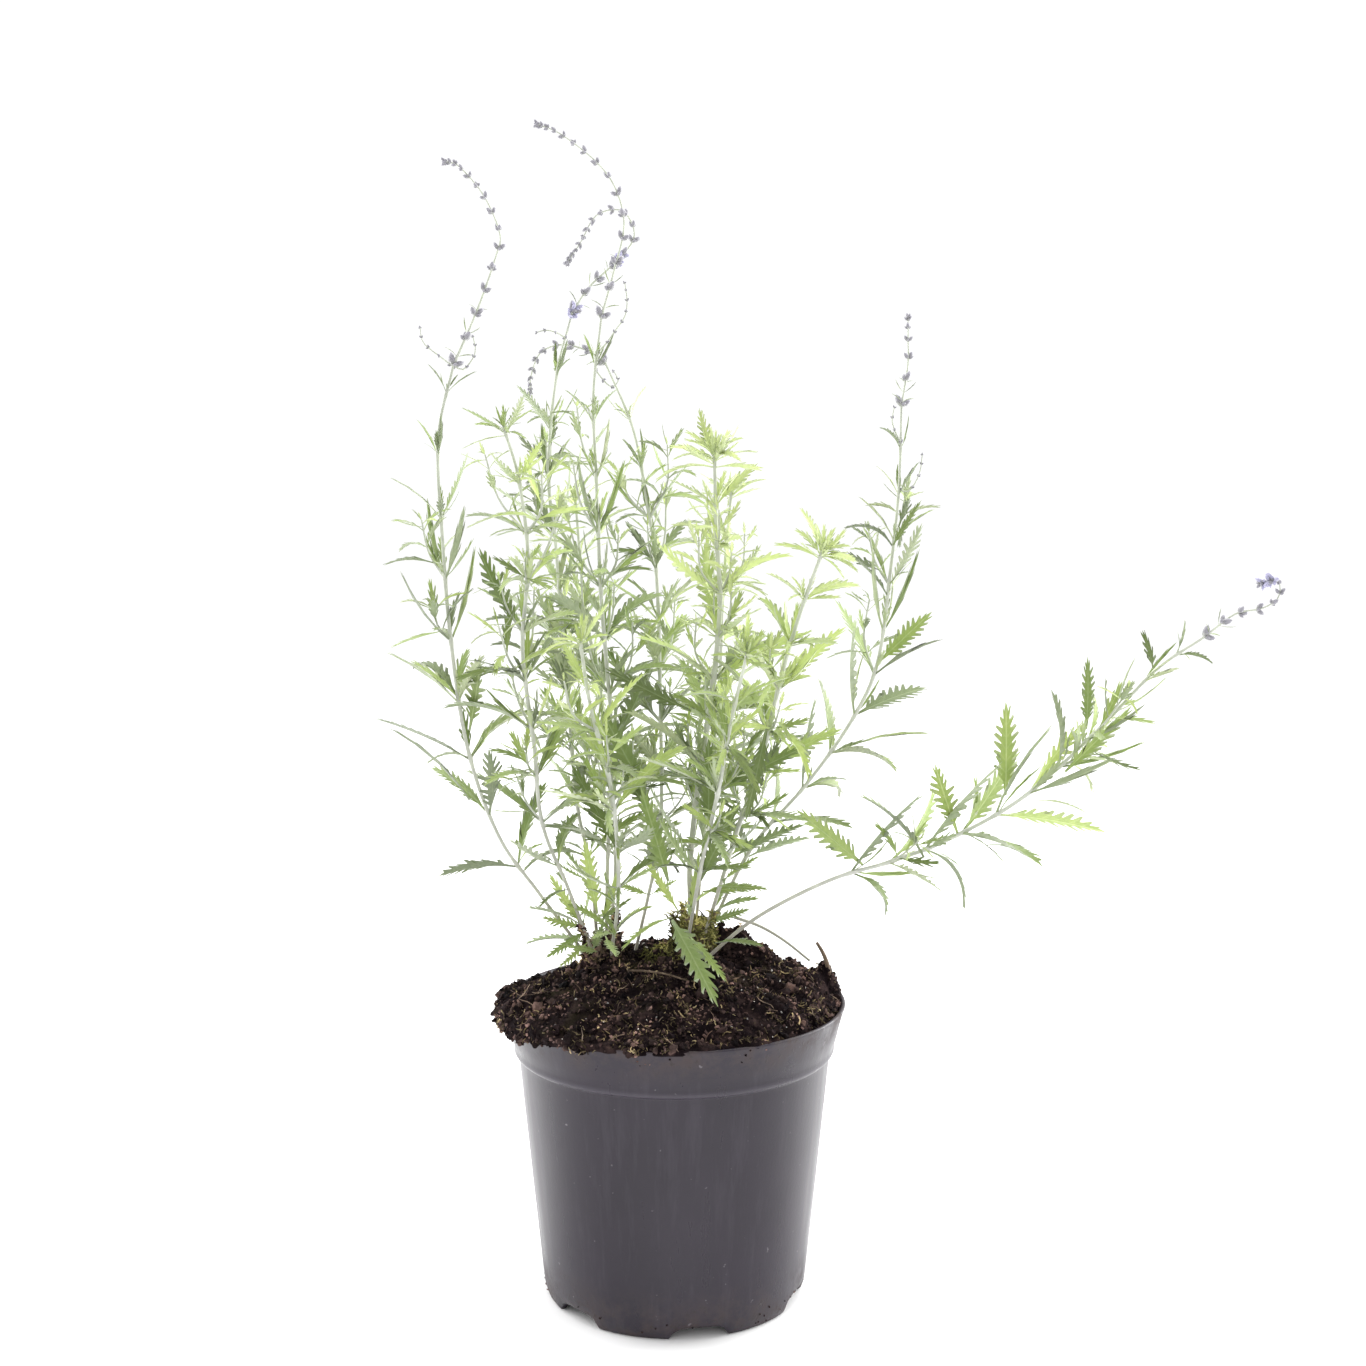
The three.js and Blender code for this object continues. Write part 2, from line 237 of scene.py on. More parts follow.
def finish_piece(piece, slot, *nodes):
    """Every piece rides on the one body and stands for its CAD nodes. The slot is not used."""
    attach(piece, "root")
    if nodes:
        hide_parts(*nodes)
    triangles = sum(len(face.vertices) - 2 for face in piece.data.polygons)
    print(piece.name, triangles, "triangles")
    return piece


# %% [markdown]
# ## The shoots
# Each shoot is a list of the points that its stem passes through, in millimetres, the same
# as in the solid model. A smooth curve runs through them. Its radii are those of the foot and
# the top. The leaf nodes sit at even shares of the length, from the first to the last, and
# each pair of leaves is turned a quarter turn from the pair below. Turn is where the lowest
# pair points, in degrees, and size is the length of the largest leaves.

# %% The shoots
SHOOTS = {
    "far_left": {
        "stem": [(-41, 2, 168), (-67, -2, 205), (-86, -5, 234), (-100, -9, 277), (-107, -13, 329),
                 (-110, -17, 379), (-111, -21, 428), (-103, -24, 463)],
        "radii": (1.7, 0.8),
        "spike": [(-103, -24, 463), (-91, -27, 489), (-82, -29, 513), (-80, -30, 523),
                  (-87, -32, 540), (-98, -33, 553), (-104, -34, 555)],
        "nodes": {"from": 0.2, "to": 0.96, "count": 9, "turn": 35, "size": 50},
    },
    "left": {
        "stem": [(-38, -3, 168), (-52, -7, 208), (-64, -16, 243), (-67, -27, 285), (-71, -39, 331),
                 (-67, -52, 374), (-70, -64, 412), (-76, -72, 436)],
        "radii": (1.7, 0.8),
        "nodes": {"from": 0.2, "to": 0.99, "count": 10, "turn": 60, "size": 46},
    },
    "back_left": {
        "stem": [(-38, 8, 168), (-42, 14, 213), (-49, 19, 247), (-54, 27, 307), (-59, 35, 370),
                 (-63, 41, 410), (-59, 47, 457), (-51, 52, 489)],
        "radii": (1.7, 0.7),
        "spike": [(-51, 52, 489), (-42, 54, 502), (-28, 57, 515), (-20, 59, 527), (-26, 60, 539),
                  (-39, 62, 537), (-47, 64, 524), (-54, 66, 514)],
        "nodes": {"from": 0.16, "to": 0.9, "count": 10, "turn": 20, "size": 48},
    },
    "tall": {
        "stem": [(-34, 4, 168), (-33, 1, 221), (-31, -1, 255), (-31, -3, 294), (-35, -8, 351),
                 (-37, -12, 409), (-38, -16, 449), (-34, -19, 485)],
        "radii": (1.8, 0.7),
        "spike": [(-34, -19, 485), (-28, -21, 506), (-23, -24, 527), (-27, -25, 544), (-36, -27, 556),
                  (-52, -29, 568), (-62, -30, 572)],
        "nodes": {"from": 0.18, "to": 0.93, "count": 10, "turn": 50, "size": 48},
    },
    "middle": {
        "stem": [(-22, 9, 162), (-13, 14, 200), (-7, 20, 232), (-7, 30, 288), (-9, 43, 358),
                 (-14, 49, 395), (-21, 56, 431), (-35, 62, 464)],
        "radii": (1.6, 0.7),
        "spike": [(-35, 62, 464), (-44, 64, 470), (-57, 66, 473), (-68, 68, 469), (-73, 70, 458),
                  (-74, 72, 449)],
        "nodes": {"from": 0.16, "to": 0.9, "count": 10, "turn": 70, "size": 46},
    },
    "rear_left": {
        "stem": [(-33, 9, 168), (-30, 30, 222), (-37, 54, 284), (-47, 76, 342), (-52, 92, 392)],
        "radii": (1.6, 0.9),
        "nodes": {"from": 0.22, "to": 0.99, "count": 8, "turn": 10, "size": 46},
    },
    "front_left": {
        "stem": [(-32, -3, 168), (-27, -20, 212), (-29, -44, 262), (-38, -66, 308), (-42, -80, 340)],
        "radii": (1.6, 0.9),
        "nodes": {"from": 0.25, "to": 0.99, "count": 7, "turn": 30, "size": 44},
    },
    "bushy": {
        "stem": [(9, 13, 174), (8, 13, 197), (8, 11, 220), (12, 5, 259), (18, -3, 302),
                 (22, -13, 347), (20, -23, 386), (19, -32, 422)],
        "radii": (2.8, 0.9),
        "nodes": {"from": 0.2, "to": 0.99, "count": 10, "turn": 25, "size": 50},
    },
    "right": {
        "stem": [(14, 12, 174), (38, 14, 223), (66, 17, 256), (88, 20, 287), (101, 22, 316),
                 (107, 25, 361), (111, 28, 402), (112, 31, 443)],
        "radii": (1.7, 0.7),
        "spike": [(112, 31, 443), (115, 32, 463), (115, 33, 475), (115, 34, 486)],
        "nodes": {"from": 0.17, "to": 0.93, "count": 11, "turn": 40, "size": 48},
    },
    "right_bushy": {
        "stem": [(13, 6, 174), (31, -8, 238), (41, -25, 273), (51, -48, 323), (59, -64, 355),
                 (67, -78, 381)],
        "radii": (1.8, 0.9),
        "nodes": {"from": 0.22, "to": 0.99, "count": 8, "turn": 35, "size": 48},
    },
    "rear_right": {
        "stem": [(10, 18, 174), (16, 44, 232), (23, 72, 296), (26, 94, 352), (30, 108, 396)],
        "radii": (1.6, 0.9),
        "nodes": {"from": 0.22, "to": 0.99, "count": 8, "turn": 65, "size": 46},
    },
    "front_right": {
        "stem": [(6, 6, 174), (13, -20, 222), (21, -48, 266), (27, -72, 306), (33, -90, 336)],
        "radii": (1.6, 0.9),
        "nodes": {"from": 0.27, "to": 0.99, "count": 6, "turn": 15, "size": 44},
    },
    "arching": {
        "stem": [(11, -5, 168), (40, -6, 193), (76, -13, 214), (107, -18, 225), (136, -22, 238),
                 (169, -29, 260), (201, -36, 293), (226, -42, 322), (247, -46, 338)],
        "radii": (1.8, 0.7),
        "spike": [(247, -46, 338), (260, -49, 349), (272, -51, 352), (279, -52, 357),
                  (278, -54, 365), (270, -55, 364)],
        "nodes": {"from": 0.31, "to": 0.95, "count": 11, "turn": 20, "size": 54},
    },
}


class Route:
    """A smooth curve through points, walked by its length."""

    def __init__(self, points, pieces=40):
        ends = [points[0] * 2 - points[1], *points, points[-1] * 2 - points[-2]]
        self.places = [points[0]]
        for a, b, c, d in zip(ends, ends[1:], ends[2:], ends[3:]):
            for i in range(1, pieces + 1):
                t = i / pieces
                bend = (c - a) * t + (a * 2 - b * 5 + c * 4 - d) * t ** 2
                self.places.append(b + (bend + (b * 3 - a - c * 3 + d) * t ** 3) / 2)
        self.marks = [0]
        for before, after in zip(self.places, self.places[1:]):
            self.marks.append(self.marks[-1] + (after - before).length)
        self.length = self.marks[-1]

    def at(self, share):
        """The place and the direction at a share of the length."""
        want = min(max(share, 0), 1) * self.length
        i = next((k for k, mark in enumerate(self.marks[1:]) if mark >= want), len(self.marks) - 2)
        stretch = self.marks[i + 1] - self.marks[i]
        place = self.places[i].lerp(self.places[i + 1], (want - self.marks[i]) / stretch)
        return place, (self.places[i + 1] - self.places[i]).normalized()


def in_metres(points):
    """Points in millimetres as vectors in metres."""
    return [Vector(p) * MM for p in points]


for shoot in SHOOTS.values():
    shoot["route"] = Route(in_metres(shoot["stem"]))
    if "spike" in shoot:
        shoot["spike_route"] = Route(in_metres(shoot["spike"]))
print(len(SHOOTS), "shoots, the longest stem",
      round(max(s["route"].length for s in SHOOTS.values()) / MM), "mm")

# %% [markdown]
# ## Leafy twigs
# From many of the middle nodes a short side twig has started to grow out of the angle between
# leaf and stem. It leaves the stem sideways, turns upward and carries three pairs of small
# leaves and a tuft. The twigs give the plant its feathery middle. Their routes are worked out
# here, once, because both the stems and the leaves below need them.

# %% Leafy twigs
TWIG_CHANCE = {"far_left": 0.3, "right": 0.15, "arching": 0.1, "bushy": 0.9, "back_left": 0.5,
               "rear_left": 0.45, "rear_right": 0.45, "right_bushy": 0.8}
USUAL_TWIG_CHANCE = 0.75
TWIG_REACH = (15, 40)
TWIG_LEAF_SIZE = (18, 29)


def node_shares(shoot):
    """Where the leaf nodes of a shoot are, as shares of its stem."""
    nodes = shoot["nodes"]
    steps = nodes["count"] - 1
    return [nodes["from"] + (nodes["to"] - nodes["from"]) * i / steps for i in range(steps + 1)]


def leaf_directions(along, angle, rise):
    """How a leaf leaves its stem: outward, the leaf's own direction, and its upper side."""
    side = along.cross(Vector((0, 1, 0))).normalized()
    front = along.cross(side)
    out = side * math.cos(angle) + front * math.sin(angle)
    return (out, out * math.cos(rise) + along * math.sin(rise),
            along * math.cos(rise) - out * math.sin(rise))


def plan_twigs(shoot, chance, dice):
    """Side twigs, from the second node to the last but two, as (route, share, leaf size)."""
    twigs = []
    for index, share in enumerate(node_shares(shoot)):
        for half in (0, 180):
            angle = math.radians(shoot["nodes"]["turn"] + 90 * index + half + dice.uniform(-25, 25))
            reach, stays = dice.uniform(*TWIG_REACH) * MM, dice.random() < chance
            if not stays or index < 1 or index > shoot["nodes"]["count"] - 3:
                continue
            place, along = shoot["route"].at(share)
            out = leaf_directions(along, angle, 0)[0]
            up = (along + Vector((0, 0, 0.6))).normalized()
            middle = place + out * reach * 0.32 + up * reach * 0.42
            end = place + out * reach * dice.uniform(0.35, 0.5) + up * reach * 0.95
            twigs.append((Route([place, middle, end]), share, dice.uniform(*TWIG_LEAF_SIZE)))
    return twigs


for order, (name, shoot) in enumerate(SHOOTS.items()):
    chance = TWIG_CHANCE.get(name, USUAL_TWIG_CHANCE)
    shoot["twigs"] = plan_twigs(shoot, chance, random.Random(500 + order))
print(sum(len(shoot["twigs"]) for shoot in SHOOTS.values()), "twigs")

# %% [markdown]
# ## Stem finish
# The stems are covered in short white down over a grey-lilac skin, greener where the shoot
# is young and brownish only where it leaves the crown. The colour goes by how far along the
# stem a place is, which the stem tree writes on the mesh. Fine streaks run along the stem.

# %% Stem finish
SOCKETS = {"roughness": "Roughness", "specular": "Specular IOR Level", "sheen": "Sheen Weight",
           "sheen_roughness": "Sheen Roughness"}


def new_finish(name, **constants):
    """A material, its node tree and its Principled shader with constants like roughness=0.5."""
    material = bpy.data.materials.new(name)
    material.use_nodes = True
    tree = material.node_tree
    shader = tree.nodes["Principled BSDF"]
    for key, value in constants.items():
        shader.inputs[SOCKETS[key]].default_value = value
    return material, tree, shader


def ramp(tree, factor, stops):
    """A colour ramp: stops are (place, linear red, green, blue)."""
    made = put(tree, "ShaderNodeValToRGB", {"Fac": factor})
    elements = made.color_ramp.elements
    while len(elements) < len(stops):
        elements.new(0.5)
    for element, (place, *colour) in zip(elements, stops):
        element.position = place
        element.color = (*colour, 1)
    return made.outputs["Color"]


def fade(tree, factor, low, high):
    """0 below low, 1 above high, and straight between."""
    return ramp(tree, factor, [(low, 0, 0, 0), (high, 1, 1, 1)])


def mix(tree, factor, first, second, way="MIX"):
    """Two colours mixed; each is a socket or a (red, green, blue)."""
    wide = [c if isinstance(c, bpy.types.NodeSocket) else (*c, 1) for c in (first, second)]
    made = put(tree, "ShaderNodeMix", {0: factor, 6: wide[0], 7: wide[1]},
               data_type="RGBA", blend_type=way)
    return made.outputs[2]


def speckle(tree, scale, detail=4.0, roughness=0.6, stretch=(1, 1, 1)):
    """A noise value on object coordinates, in waves per metre."""
    place = put(tree, "ShaderNodeTexCoord").outputs["Object"]
    if stretch != (1, 1, 1):
        place = put(tree, "ShaderNodeMapping", {"Vector": place, "Scale": stretch}).outputs[0]
    made = put(tree, "ShaderNodeTexNoise", {"Vector": place, "Scale": scale, "Detail": detail,
                                            "Roughness": roughness})
    return made.outputs[0]


def mark(tree, name):
    """A value that a Geometry Nodes tree or the script left on the mesh."""
    return put(tree, "ShaderNodeAttribute", attribute_name=name).outputs["Fac"]


def bump(tree, shader, height, distance, strength=0.6):
    """Fine relief on a shader's normal, distance in metres."""
    made = put(tree, "ShaderNodeBump", {"Height": height, "Distance": distance, "Strength": strength})
    tree.links.new(made.outputs[0], shader.inputs["Normal"])


def stem_finish():
    """Grey-lilac down, browner at the crown and greener at the tip, with fine streaks."""
    material, tree, shader = new_finish("downy_stem", roughness=0.75, sheen=0.35, sheen_roughness=0.5)
    skin = ramp(tree, mark(tree, "along"), [
        (0.0, 0.24, 0.19, 0.12), (0.05, 0.33, 0.31, 0.20), (0.14, 0.48, 0.50, 0.37),
        (0.3, 0.58, 0.61, 0.50), (0.6, 0.59, 0.63, 0.52), (0.85, 0.51, 0.57, 0.41),
        (1.0, 0.47, 0.52, 0.39)])
    streaks = speckle(tree, 900, 3, 0.6, (1, 1, 0.12))
    tinted = mix(tree, sums(tree, "MULTIPLY", streaks, 0.5), skin, (0.50, 0.45, 0.54))
    patches = ramp(tree, speckle(tree, 120), [(0.35, 0.84, 0.84, 0.84), (0.7, 1.08, 1.08, 1.08)])
    colour = mix(tree, 1.0, tinted, patches, "MULTIPLY")
    tree.links.new(colour, shader.inputs["Base Color"])
    bump(tree, shader, streaks, 0.0002)
    return material


STEM_FINISH = stem_finish()
print("stem finish ready")

# %% [markdown]
# ## Stems
# A stem is square with rounded corners, as in all the mint family, thickest at the crown and
# a little swollen at every leaf node. It could be modelled by hand, but a Geometry Nodes tree
# does all thirteen and their twigs alike: it turns rows of points into curves and sweeps a
# small rounded square along each, scaled by a thickness on every point.

# %% Stems
SQUARE_WIDTH = 1.7
SQUARE_CORNER = 0.5
FOOT_THINNING = 0.55
TOP_THINNING = 0.9
THINNED_UP_TO = 0.6
NODE_SWELLING = 0.4
SWELLING_LENGTH = 2.2
STEM_STEP = 3.5


def sweep(tree, curve, outline):
    """An outline swept along a curve, scaled by the thickness on the curve's points."""
    swept = put(tree, "GeometryNodeCurveToMesh", {"Curve": curve, "Profile Curve": outline,
                "Scale": carried(tree, "thickness"), "Fill Caps": True})
    return put(tree, "GeometryNodeSetShadeSmooth", {"Geometry": swept.outputs[0]}).outputs[0]


def stem_tree():
    """Rows of points become stems: a rounded square swept along each."""
    tree, given = new_growth("square stem", {"Corner": "NodeSocketFloat",
                                             "Finish": "NodeSocketMaterial"})
    curve = put(tree, "GeometryNodeMeshToCurve", {"Mesh": given["Geometry"]})
    square = put(tree, "GeometryNodeCurvePrimitiveQuadrilateral", {"Width": SQUARE_WIDTH,
                                                                   "Height": SQUARE_WIDTH})
    rounded = put(tree, "GeometryNodeFilletCurve", {"Curve": square.outputs[0],
                  "Radius": given["Corner"], "Count": 2}, mode="POLY")
    stem = sweep(tree, curve.outputs[0], rounded.outputs[0])
    put(tree, "NodeGroupOutput", {"Geometry": painted(tree, stem, given["Finish"])})
    return tree


def stem_thickness(shoot, share):
    """Half the width of a stem. Low down it is thinner than the solid model's stout stems."""
    first, last = shoot["radii"]
    thinning = FOOT_THINNING + (TOP_THINNING - FOOT_THINNING) * min(share / THINNED_UP_TO, 1)
    radius = (first + (last - first) * share) * thinning
    near = min(abs(share - s) * shoot["route"].length for s in node_shares(shoot))
    swelling = NODE_SWELLING * math.exp(-(near / (SWELLING_LENGTH * MM)) ** 2)
    return (radius + swelling * (0.6 + 0.4 * radius)) * MM


def even_shares(length, step):
    """Shares of a length at even steps, the nearest to the step that is asked for."""
    steps = max(round(length / step), 6)
    return [i / steps for i in range(steps + 1)]


STEM_TREE = stem_tree()
for name, shoot in SHOOTS.items():
    shares = even_shares(shoot["route"].length, STEM_STEP * MM)
    rows = [[shoot["route"].at(s)[0] for s in shares]]
    thickness, along = [stem_thickness(shoot, s) for s in shares], list(shares)
    for route, share, _ in shoot["twigs"]:
        steps = even_shares(route.length, STEM_STEP * MM)
        rows.append([route.at(s)[0] for s in steps])
        thickness += [(0.7 - 0.3 * s) * MM for s in steps]
        along += [min(share + 0.3 + 0.2 * s, 1) for s in steps]
    carrier = row_carrier(f"rows_{name}", rows, {"thickness": thickness, "along": along})
    settings = {"Corner": SQUARE_CORNER, "Finish": STEM_FINISH}
    piece = grow(carrier, STEM_TREE, settings, f"sage_stem_{name}")
    finish_piece(piece, "stem", f"stem_{name}")

# %% [markdown]
# ## Leaf finish
# A sage leaf is matt, finely wrinkled and a little downy. It is fresh yellow-green where the
# shoot still grows, darker green lower down, and pale silver-green on its underside. The tips
# of its teeth are greyish. The colour is mixed from values on the mesh: age, a shade that
# differs from leaf to leaf, less so on young leaves, and a mark on the underside. The brightest
# shades are a painted glow, as if light shone through the leaf from behind. The veins
# come from the leaf's own UV map: u runs from foot to tip and v from edge to edge.

# %% Leaf finish
def leaf_finish():
    """The upper and the lower side by age, then veins, grey teeth, tone with a painted glow on the
    brightest leaves, and blotches.
    """
    material, tree, shader = new_finish("sage_leaf", roughness=0.62, specular=0.3, sheen=0.25,
                                        sheen_roughness=0.6)
    age, shade, under = (mark(tree, name) for name in ("age", "shade", "under"))
    upper = ramp(tree, age, [(0.0, 0.62, 0.715, 0.30), (0.3, 0.45, 0.565, 0.17),
                             (0.65, 0.25, 0.345, 0.085), (1.0, 0.165, 0.225, 0.065)])
    lower = ramp(tree, age, [(0.0, 0.62, 0.70, 0.37), (0.5, 0.43, 0.50, 0.30),
                             (1.0, 0.32, 0.37, 0.25)])
    sheet = mix(tree, under, upper, lower)
    places = put(tree, "ShaderNodeUVMap", uv_map="UVMap").outputs[0]
    split = put(tree, "ShaderNodeSeparateXYZ", {0: places})
    across = sums(tree, "ABSOLUTE", sums(tree, "SUBTRACT", split.outputs["Y"], 0.5))
    rib = ramp(tree, across, [(0.0, 1, 1, 1), (0.01, 1, 1, 1), (0.035, 0, 0, 0)])
    slant = sums(tree, "SUBTRACT", sums(tree, "MULTIPLY", split.outputs["X"], 8.0),
                 sums(tree, "MULTIPLY", across, 3.2))
    veins = ramp(tree, sums(tree, "PINGPONG", slant, 0.5),
                 [(0.0, 1, 1, 1), (0.07, 0.3, 0.3, 0.3), (0.18, 0, 0, 0)])
    lines = sums(tree, "MAXIMUM", rib, sums(tree, "MULTIPLY", veins, 0.5), True)
    veined = mix(tree, sums(tree, "MULTIPLY", lines, 0.3), sheet, (0.60, 0.70, 0.38))
    greyed = mix(tree, sums(tree, "MULTIPLY", fade(tree, across, 0.14, 0.46), 0.6), veined,
                 (0.27, 0.305, 0.20))
    # The tone differs at random from leaf to leaf. Its brightest stops are a painted glow, as of light
    # shining through the leaf.
    tone_and_painted_glow = ramp(tree, shade, [(0.0, 0.46, 0.48, 0.43), (0.25, 0.76, 0.78, 0.75),
                              (0.5, 1.0, 1.0, 1.0), (0.85, 1.15, 1.12, 1.12),
                              (1.0, 1.27, 1.21, 1.15)])
    young = ramp(tree, age, [(0.0, 0.35, 0.35, 0.35), (0.45, 1, 1, 1)])
    toned = mix(tree, young, greyed, tone_and_painted_glow, "MULTIPLY")
    blotch = ramp(tree, speckle(tree, 260, 3), [(0.3, 0.86, 0.9, 0.84), (0.68, 1.08, 1.06, 1.06)])
    colour = mix(tree, 1.0, toned, blotch, "MULTIPLY")
    tree.links.new(colour, shader.inputs["Base Color"])
    wrinkle = sums(tree, "SUBTRACT", speckle(tree, 1800, 2), sums(tree, "MULTIPLY", lines, 0.8))
    bump(tree, shader, wrinkle, 0.0003, 0.5)
    return material


LEAF_FINISH = leaf_finish()
print("leaf finish ready")

# %% [markdown]
# ## Leaf patterns
# Real leaves differ, so the script cuts a few patterns and reuses them, as a maker of paper
# plants would. A pattern is a closed, thin lens: thickest at the midrib, with sharp edges. A
# narrow foot widens into a blade whose long teeth point forward. It is one unit long, lies
# along X, and bends, twists and folds by its own amounts. Each tooth has three faces on each
# side of the leaf, so even a deeply cut leaf stays light.

# %% Leaf patterns
def leaf_pattern(name, teeth, width, cut, bend, twist, fold, seed, stalk=0.16):
    """width is the full width over the teeth, and cut is how deep they go, both as shares."""
    dice = random.Random(seed)
    tool = bmesh.new()
    thick = 0.0075
    first, last = stalk, 0.92

    def reach(u):
        inside = min(max((u - stalk * 0.75) / (1 - stalk * 0.75), 0), 1)
        return width / 2 * math.sin(math.pi * inside ** 0.72) ** 0.8

    def place(u, v, lift):
        """A point u along and v across, in unit lengths, after folding, twisting, bending."""
        turn = bend * u
        along = math.sin(turn) / bend
        drop = (1 - math.cos(turn)) / bend
        rise = fold * abs(v) - 1.2 * fold * v * v / width + lift
        spin = twist * u
        side = v * math.cos(spin) - rise * math.sin(spin)
        up = v * math.sin(spin) + rise * math.cos(spin)
        return Vector((along + up * math.sin(turn), side, up * math.cos(turn) - drop))

    spots = {}

    def vertex(u, v, lift):
        made = tool.verts.new(place(u, v, lift))
        spots[made] = (u, 0.5 + v / width)
        return made

    shares = [first + (last - first) * i / teeth for i in range(teeth + 1)]
    ribs = {s: [vertex(u, 0, s * thick * (1.15 - u)) for u in shares] for s in (1, -1)}
    foot = {s: vertex(0, 0, s * thick * 1.2) for s in (1, -1)}
    tip = vertex(1, 0, 0)
    faces = []
    for side in (1, -1):
        heel = vertex(0, side * 0.012, 0)
        notches = [vertex(u, side * max(reach(u) * (1 - cut), 0.012), 0) for u in shares]
        for k in range(teeth):
            step = shares[k + 1] - shares[k]
            height = max(reach(shares[k] + 0.75 * step) * dice.uniform(0.7, 1.15), 0.018)
            ahead = min(shares[k + 1] + step * dice.uniform(-0.2, 0.3), 0.96)
            back = vertex(ahead, side * height, 0)
            front = vertex(min(ahead + step * dice.uniform(0.2, 0.4), 0.985),
                           side * height * dice.uniform(0.78, 0.95), 0)
            gap = shares[k] + step * dice.uniform(0.7, 0.85)
            inner = vertex(gap, side * max(reach(gap) * (1 - cut) * 0.92, 0.011), 0)
            for s in (1, -1):
                rib = ribs[s]
                faces += [(s, side, (rib[k], notches[k], back)),
                          (s, side, (rib[k], back, front, inner)),
                          (s, side, (rib[k], inner, notches[k + 1], rib[k + 1]))]
        for s in (1, -1):
            faces += [(s, side, (foot[s], heel, notches[0], ribs[s][0])),
                      (s, side, (ribs[s][-1], notches[-1], tip))]
        faces.append((0, side, (foot[1], foot[-1], heel)))
    under = tool.faces.layers.float.new("under")
    chart = tool.loops.layers.uv.new("UVMap")
    for s, side, corners in faces:
        made = tool.faces.new(corners if s * side < 0 else tuple(reversed(corners)))
        made[under] = 1.0 if s < 0 else 0.0
        made.smooth = True
        for loop in made.loops:
            loop[chart].uv = spots[loop.vert]
    for edge in tool.edges:
        edge.smooth = len({face[under] for face in edge.link_faces}) == 1
    bmesh.ops.recalc_face_normals(tool, faces=tool.faces[:])
    return bpy.data.objects.new(name, mesh_of(tool, name))


LARGE_PATTERNS = [(9, 0.28, 0.56, 0.25, 0.2, 0.4), (9, 0.23, 0.58, 0.6, -0.35, 0.7),
                  (8, 0.21, 0.50, 0.95, 0.5, 1.0), (8, 0.29, 0.66, -0.35, -0.6, 0.6),
                  (7, 0.19, 0.54, 1.35, 0.2, 1.2), (8, 0.22, 0.48, 0.45, 0.9, 0.8)]
SMALL_PATTERNS = [(4, 0.26, 0.56, 0.3, 0.2, 0.5), (4, 0.21, 0.56, 0.8, -0.4, 0.8),
                  (3, 0.11, 0.3, 0.5, 0.3, 0.6), (4, 0.24, 0.60, -0.4, 0.5, 0.6),
                  (3, 0.10, 0.3, -0.5, -0.3, 0.8), (4, 0.20, 0.56, 1.1, 0.6, 0.9)]
PATTERN_BENDS = [shape[3] for shape in LARGE_PATTERNS + SMALL_PATTERNS]
LARGE, SMALL, NARROW = len(LARGE_PATTERNS), len(SMALL_PATTERNS), (2, 4)
patterns = bpy.data.collections.new("leaf patterns")
for i, shape in enumerate(LARGE_PATTERNS + SMALL_PATTERNS):
    patterns.objects.link(leaf_pattern(f"leaf_{i:02d}", *shape, 10 + i))

# %% [markdown]
# ## Foliage
# The leaf tree puts one pattern on every point of a bare mesh and takes its direction, size
# and pattern number from attributes on the point. The script works those out shoot by shoot:
# two large leaves at each node, a few small ones in their axils, the leaves of the twigs, and
# a tuft at each growing tip. Placing them by hand would take days, and scattering without a
# rule would lose the crossed pairs that make the plant recognisable. An age of 0 is a fresh
# yellow-green leaf, and an age of 1 is an old dark one.

# %% Foliage
TIP_AGE = {"far_left": 0.8, "left": 0.5, "back_left": 0.75, "tall": 0.7, "middle": 0.6,
           "rear_left": 0.08, "front_left": 0.3, "bushy": 0.0, "right": 0.8, "right_bushy": 0.08,
           "rear_right": 0.12, "front_right": 0.45, "arching": 0.6}
FOOT_AGE = 0.95
FULLNESS = {"far_left": 0.6, "right": 0.3, "arching": 0.35, "bushy": 1.6, "right_bushy": 1.9,
            "front_right": 1.5}
USUAL_FULLNESS = 1.1
LEAFY_FOOT = ("left", "back_left", "bushy", "right_bushy", "front_left")
NARROW_FROM = 0.52
NARROW_CHANCE = 0.75
HANGING_LENGTH = 0.68
GOLDEN_TURN = 137.5


def pattern_pool(tree, collection):
    """The objects of a collection as instances, one of which is picked for each point."""
    return put(tree, "GeometryNodeCollectionInfo", {"Collection": collection,
               "Separate Children": True, "Reset Children": True}).outputs[0]


def foliage_tree():
    """One leaf pattern on every point, turned and sized as the point says."""
    tree, given = new_growth("leaves on points", {"Patterns": "NodeSocketCollection",
                                                  "Finish": "NodeSocketMaterial"})
    points = put(tree, "GeometryNodeMeshToPoints", {"Mesh": given["Geometry"]})
    turn = put(tree, "FunctionNodeEulerToRotation", {0: carried(tree, "turn", "FLOAT_VECTOR")})
    placed = put(tree, "GeometryNodeInstanceOnPoints", {
        "Points": points.outputs[0], "Instance": pattern_pool(tree, given["Patterns"]),
        "Pick Instance": True, "Instance Index": carried(tree, "pattern", "INT"),
        "Rotation": turn.outputs[0], "Scale": carried(tree, "size", "FLOAT_VECTOR")})
    leaves = painted(tree, placed.outputs[0], given["Finish"])
    put(tree, "NodeGroupOutput", {"Geometry": leaves})
    return tree


def leaf_length(shoot, share):
    """Shorter leaves low down and toward the top, as in the solid model."""
    def ease(low, high):
        t = min(max((share - low) / (high - low), 0), 1)
        return t * t * (3 - 2 * t)

    top = 0.32 if "spike" in shoot else 0.5
    return shoot["nodes"]["size"] * (0.7 + 0.3 * ease(0.05, 0.35)) * (1 - (1 - top) * ease(0.5, 1))


REAR_LIMIT = 121 * MM
FRONT_LIMIT = -108 * MM
SHORTEST_LEAF = 5 * MM
WIDTHS = (0.75, 1.1)


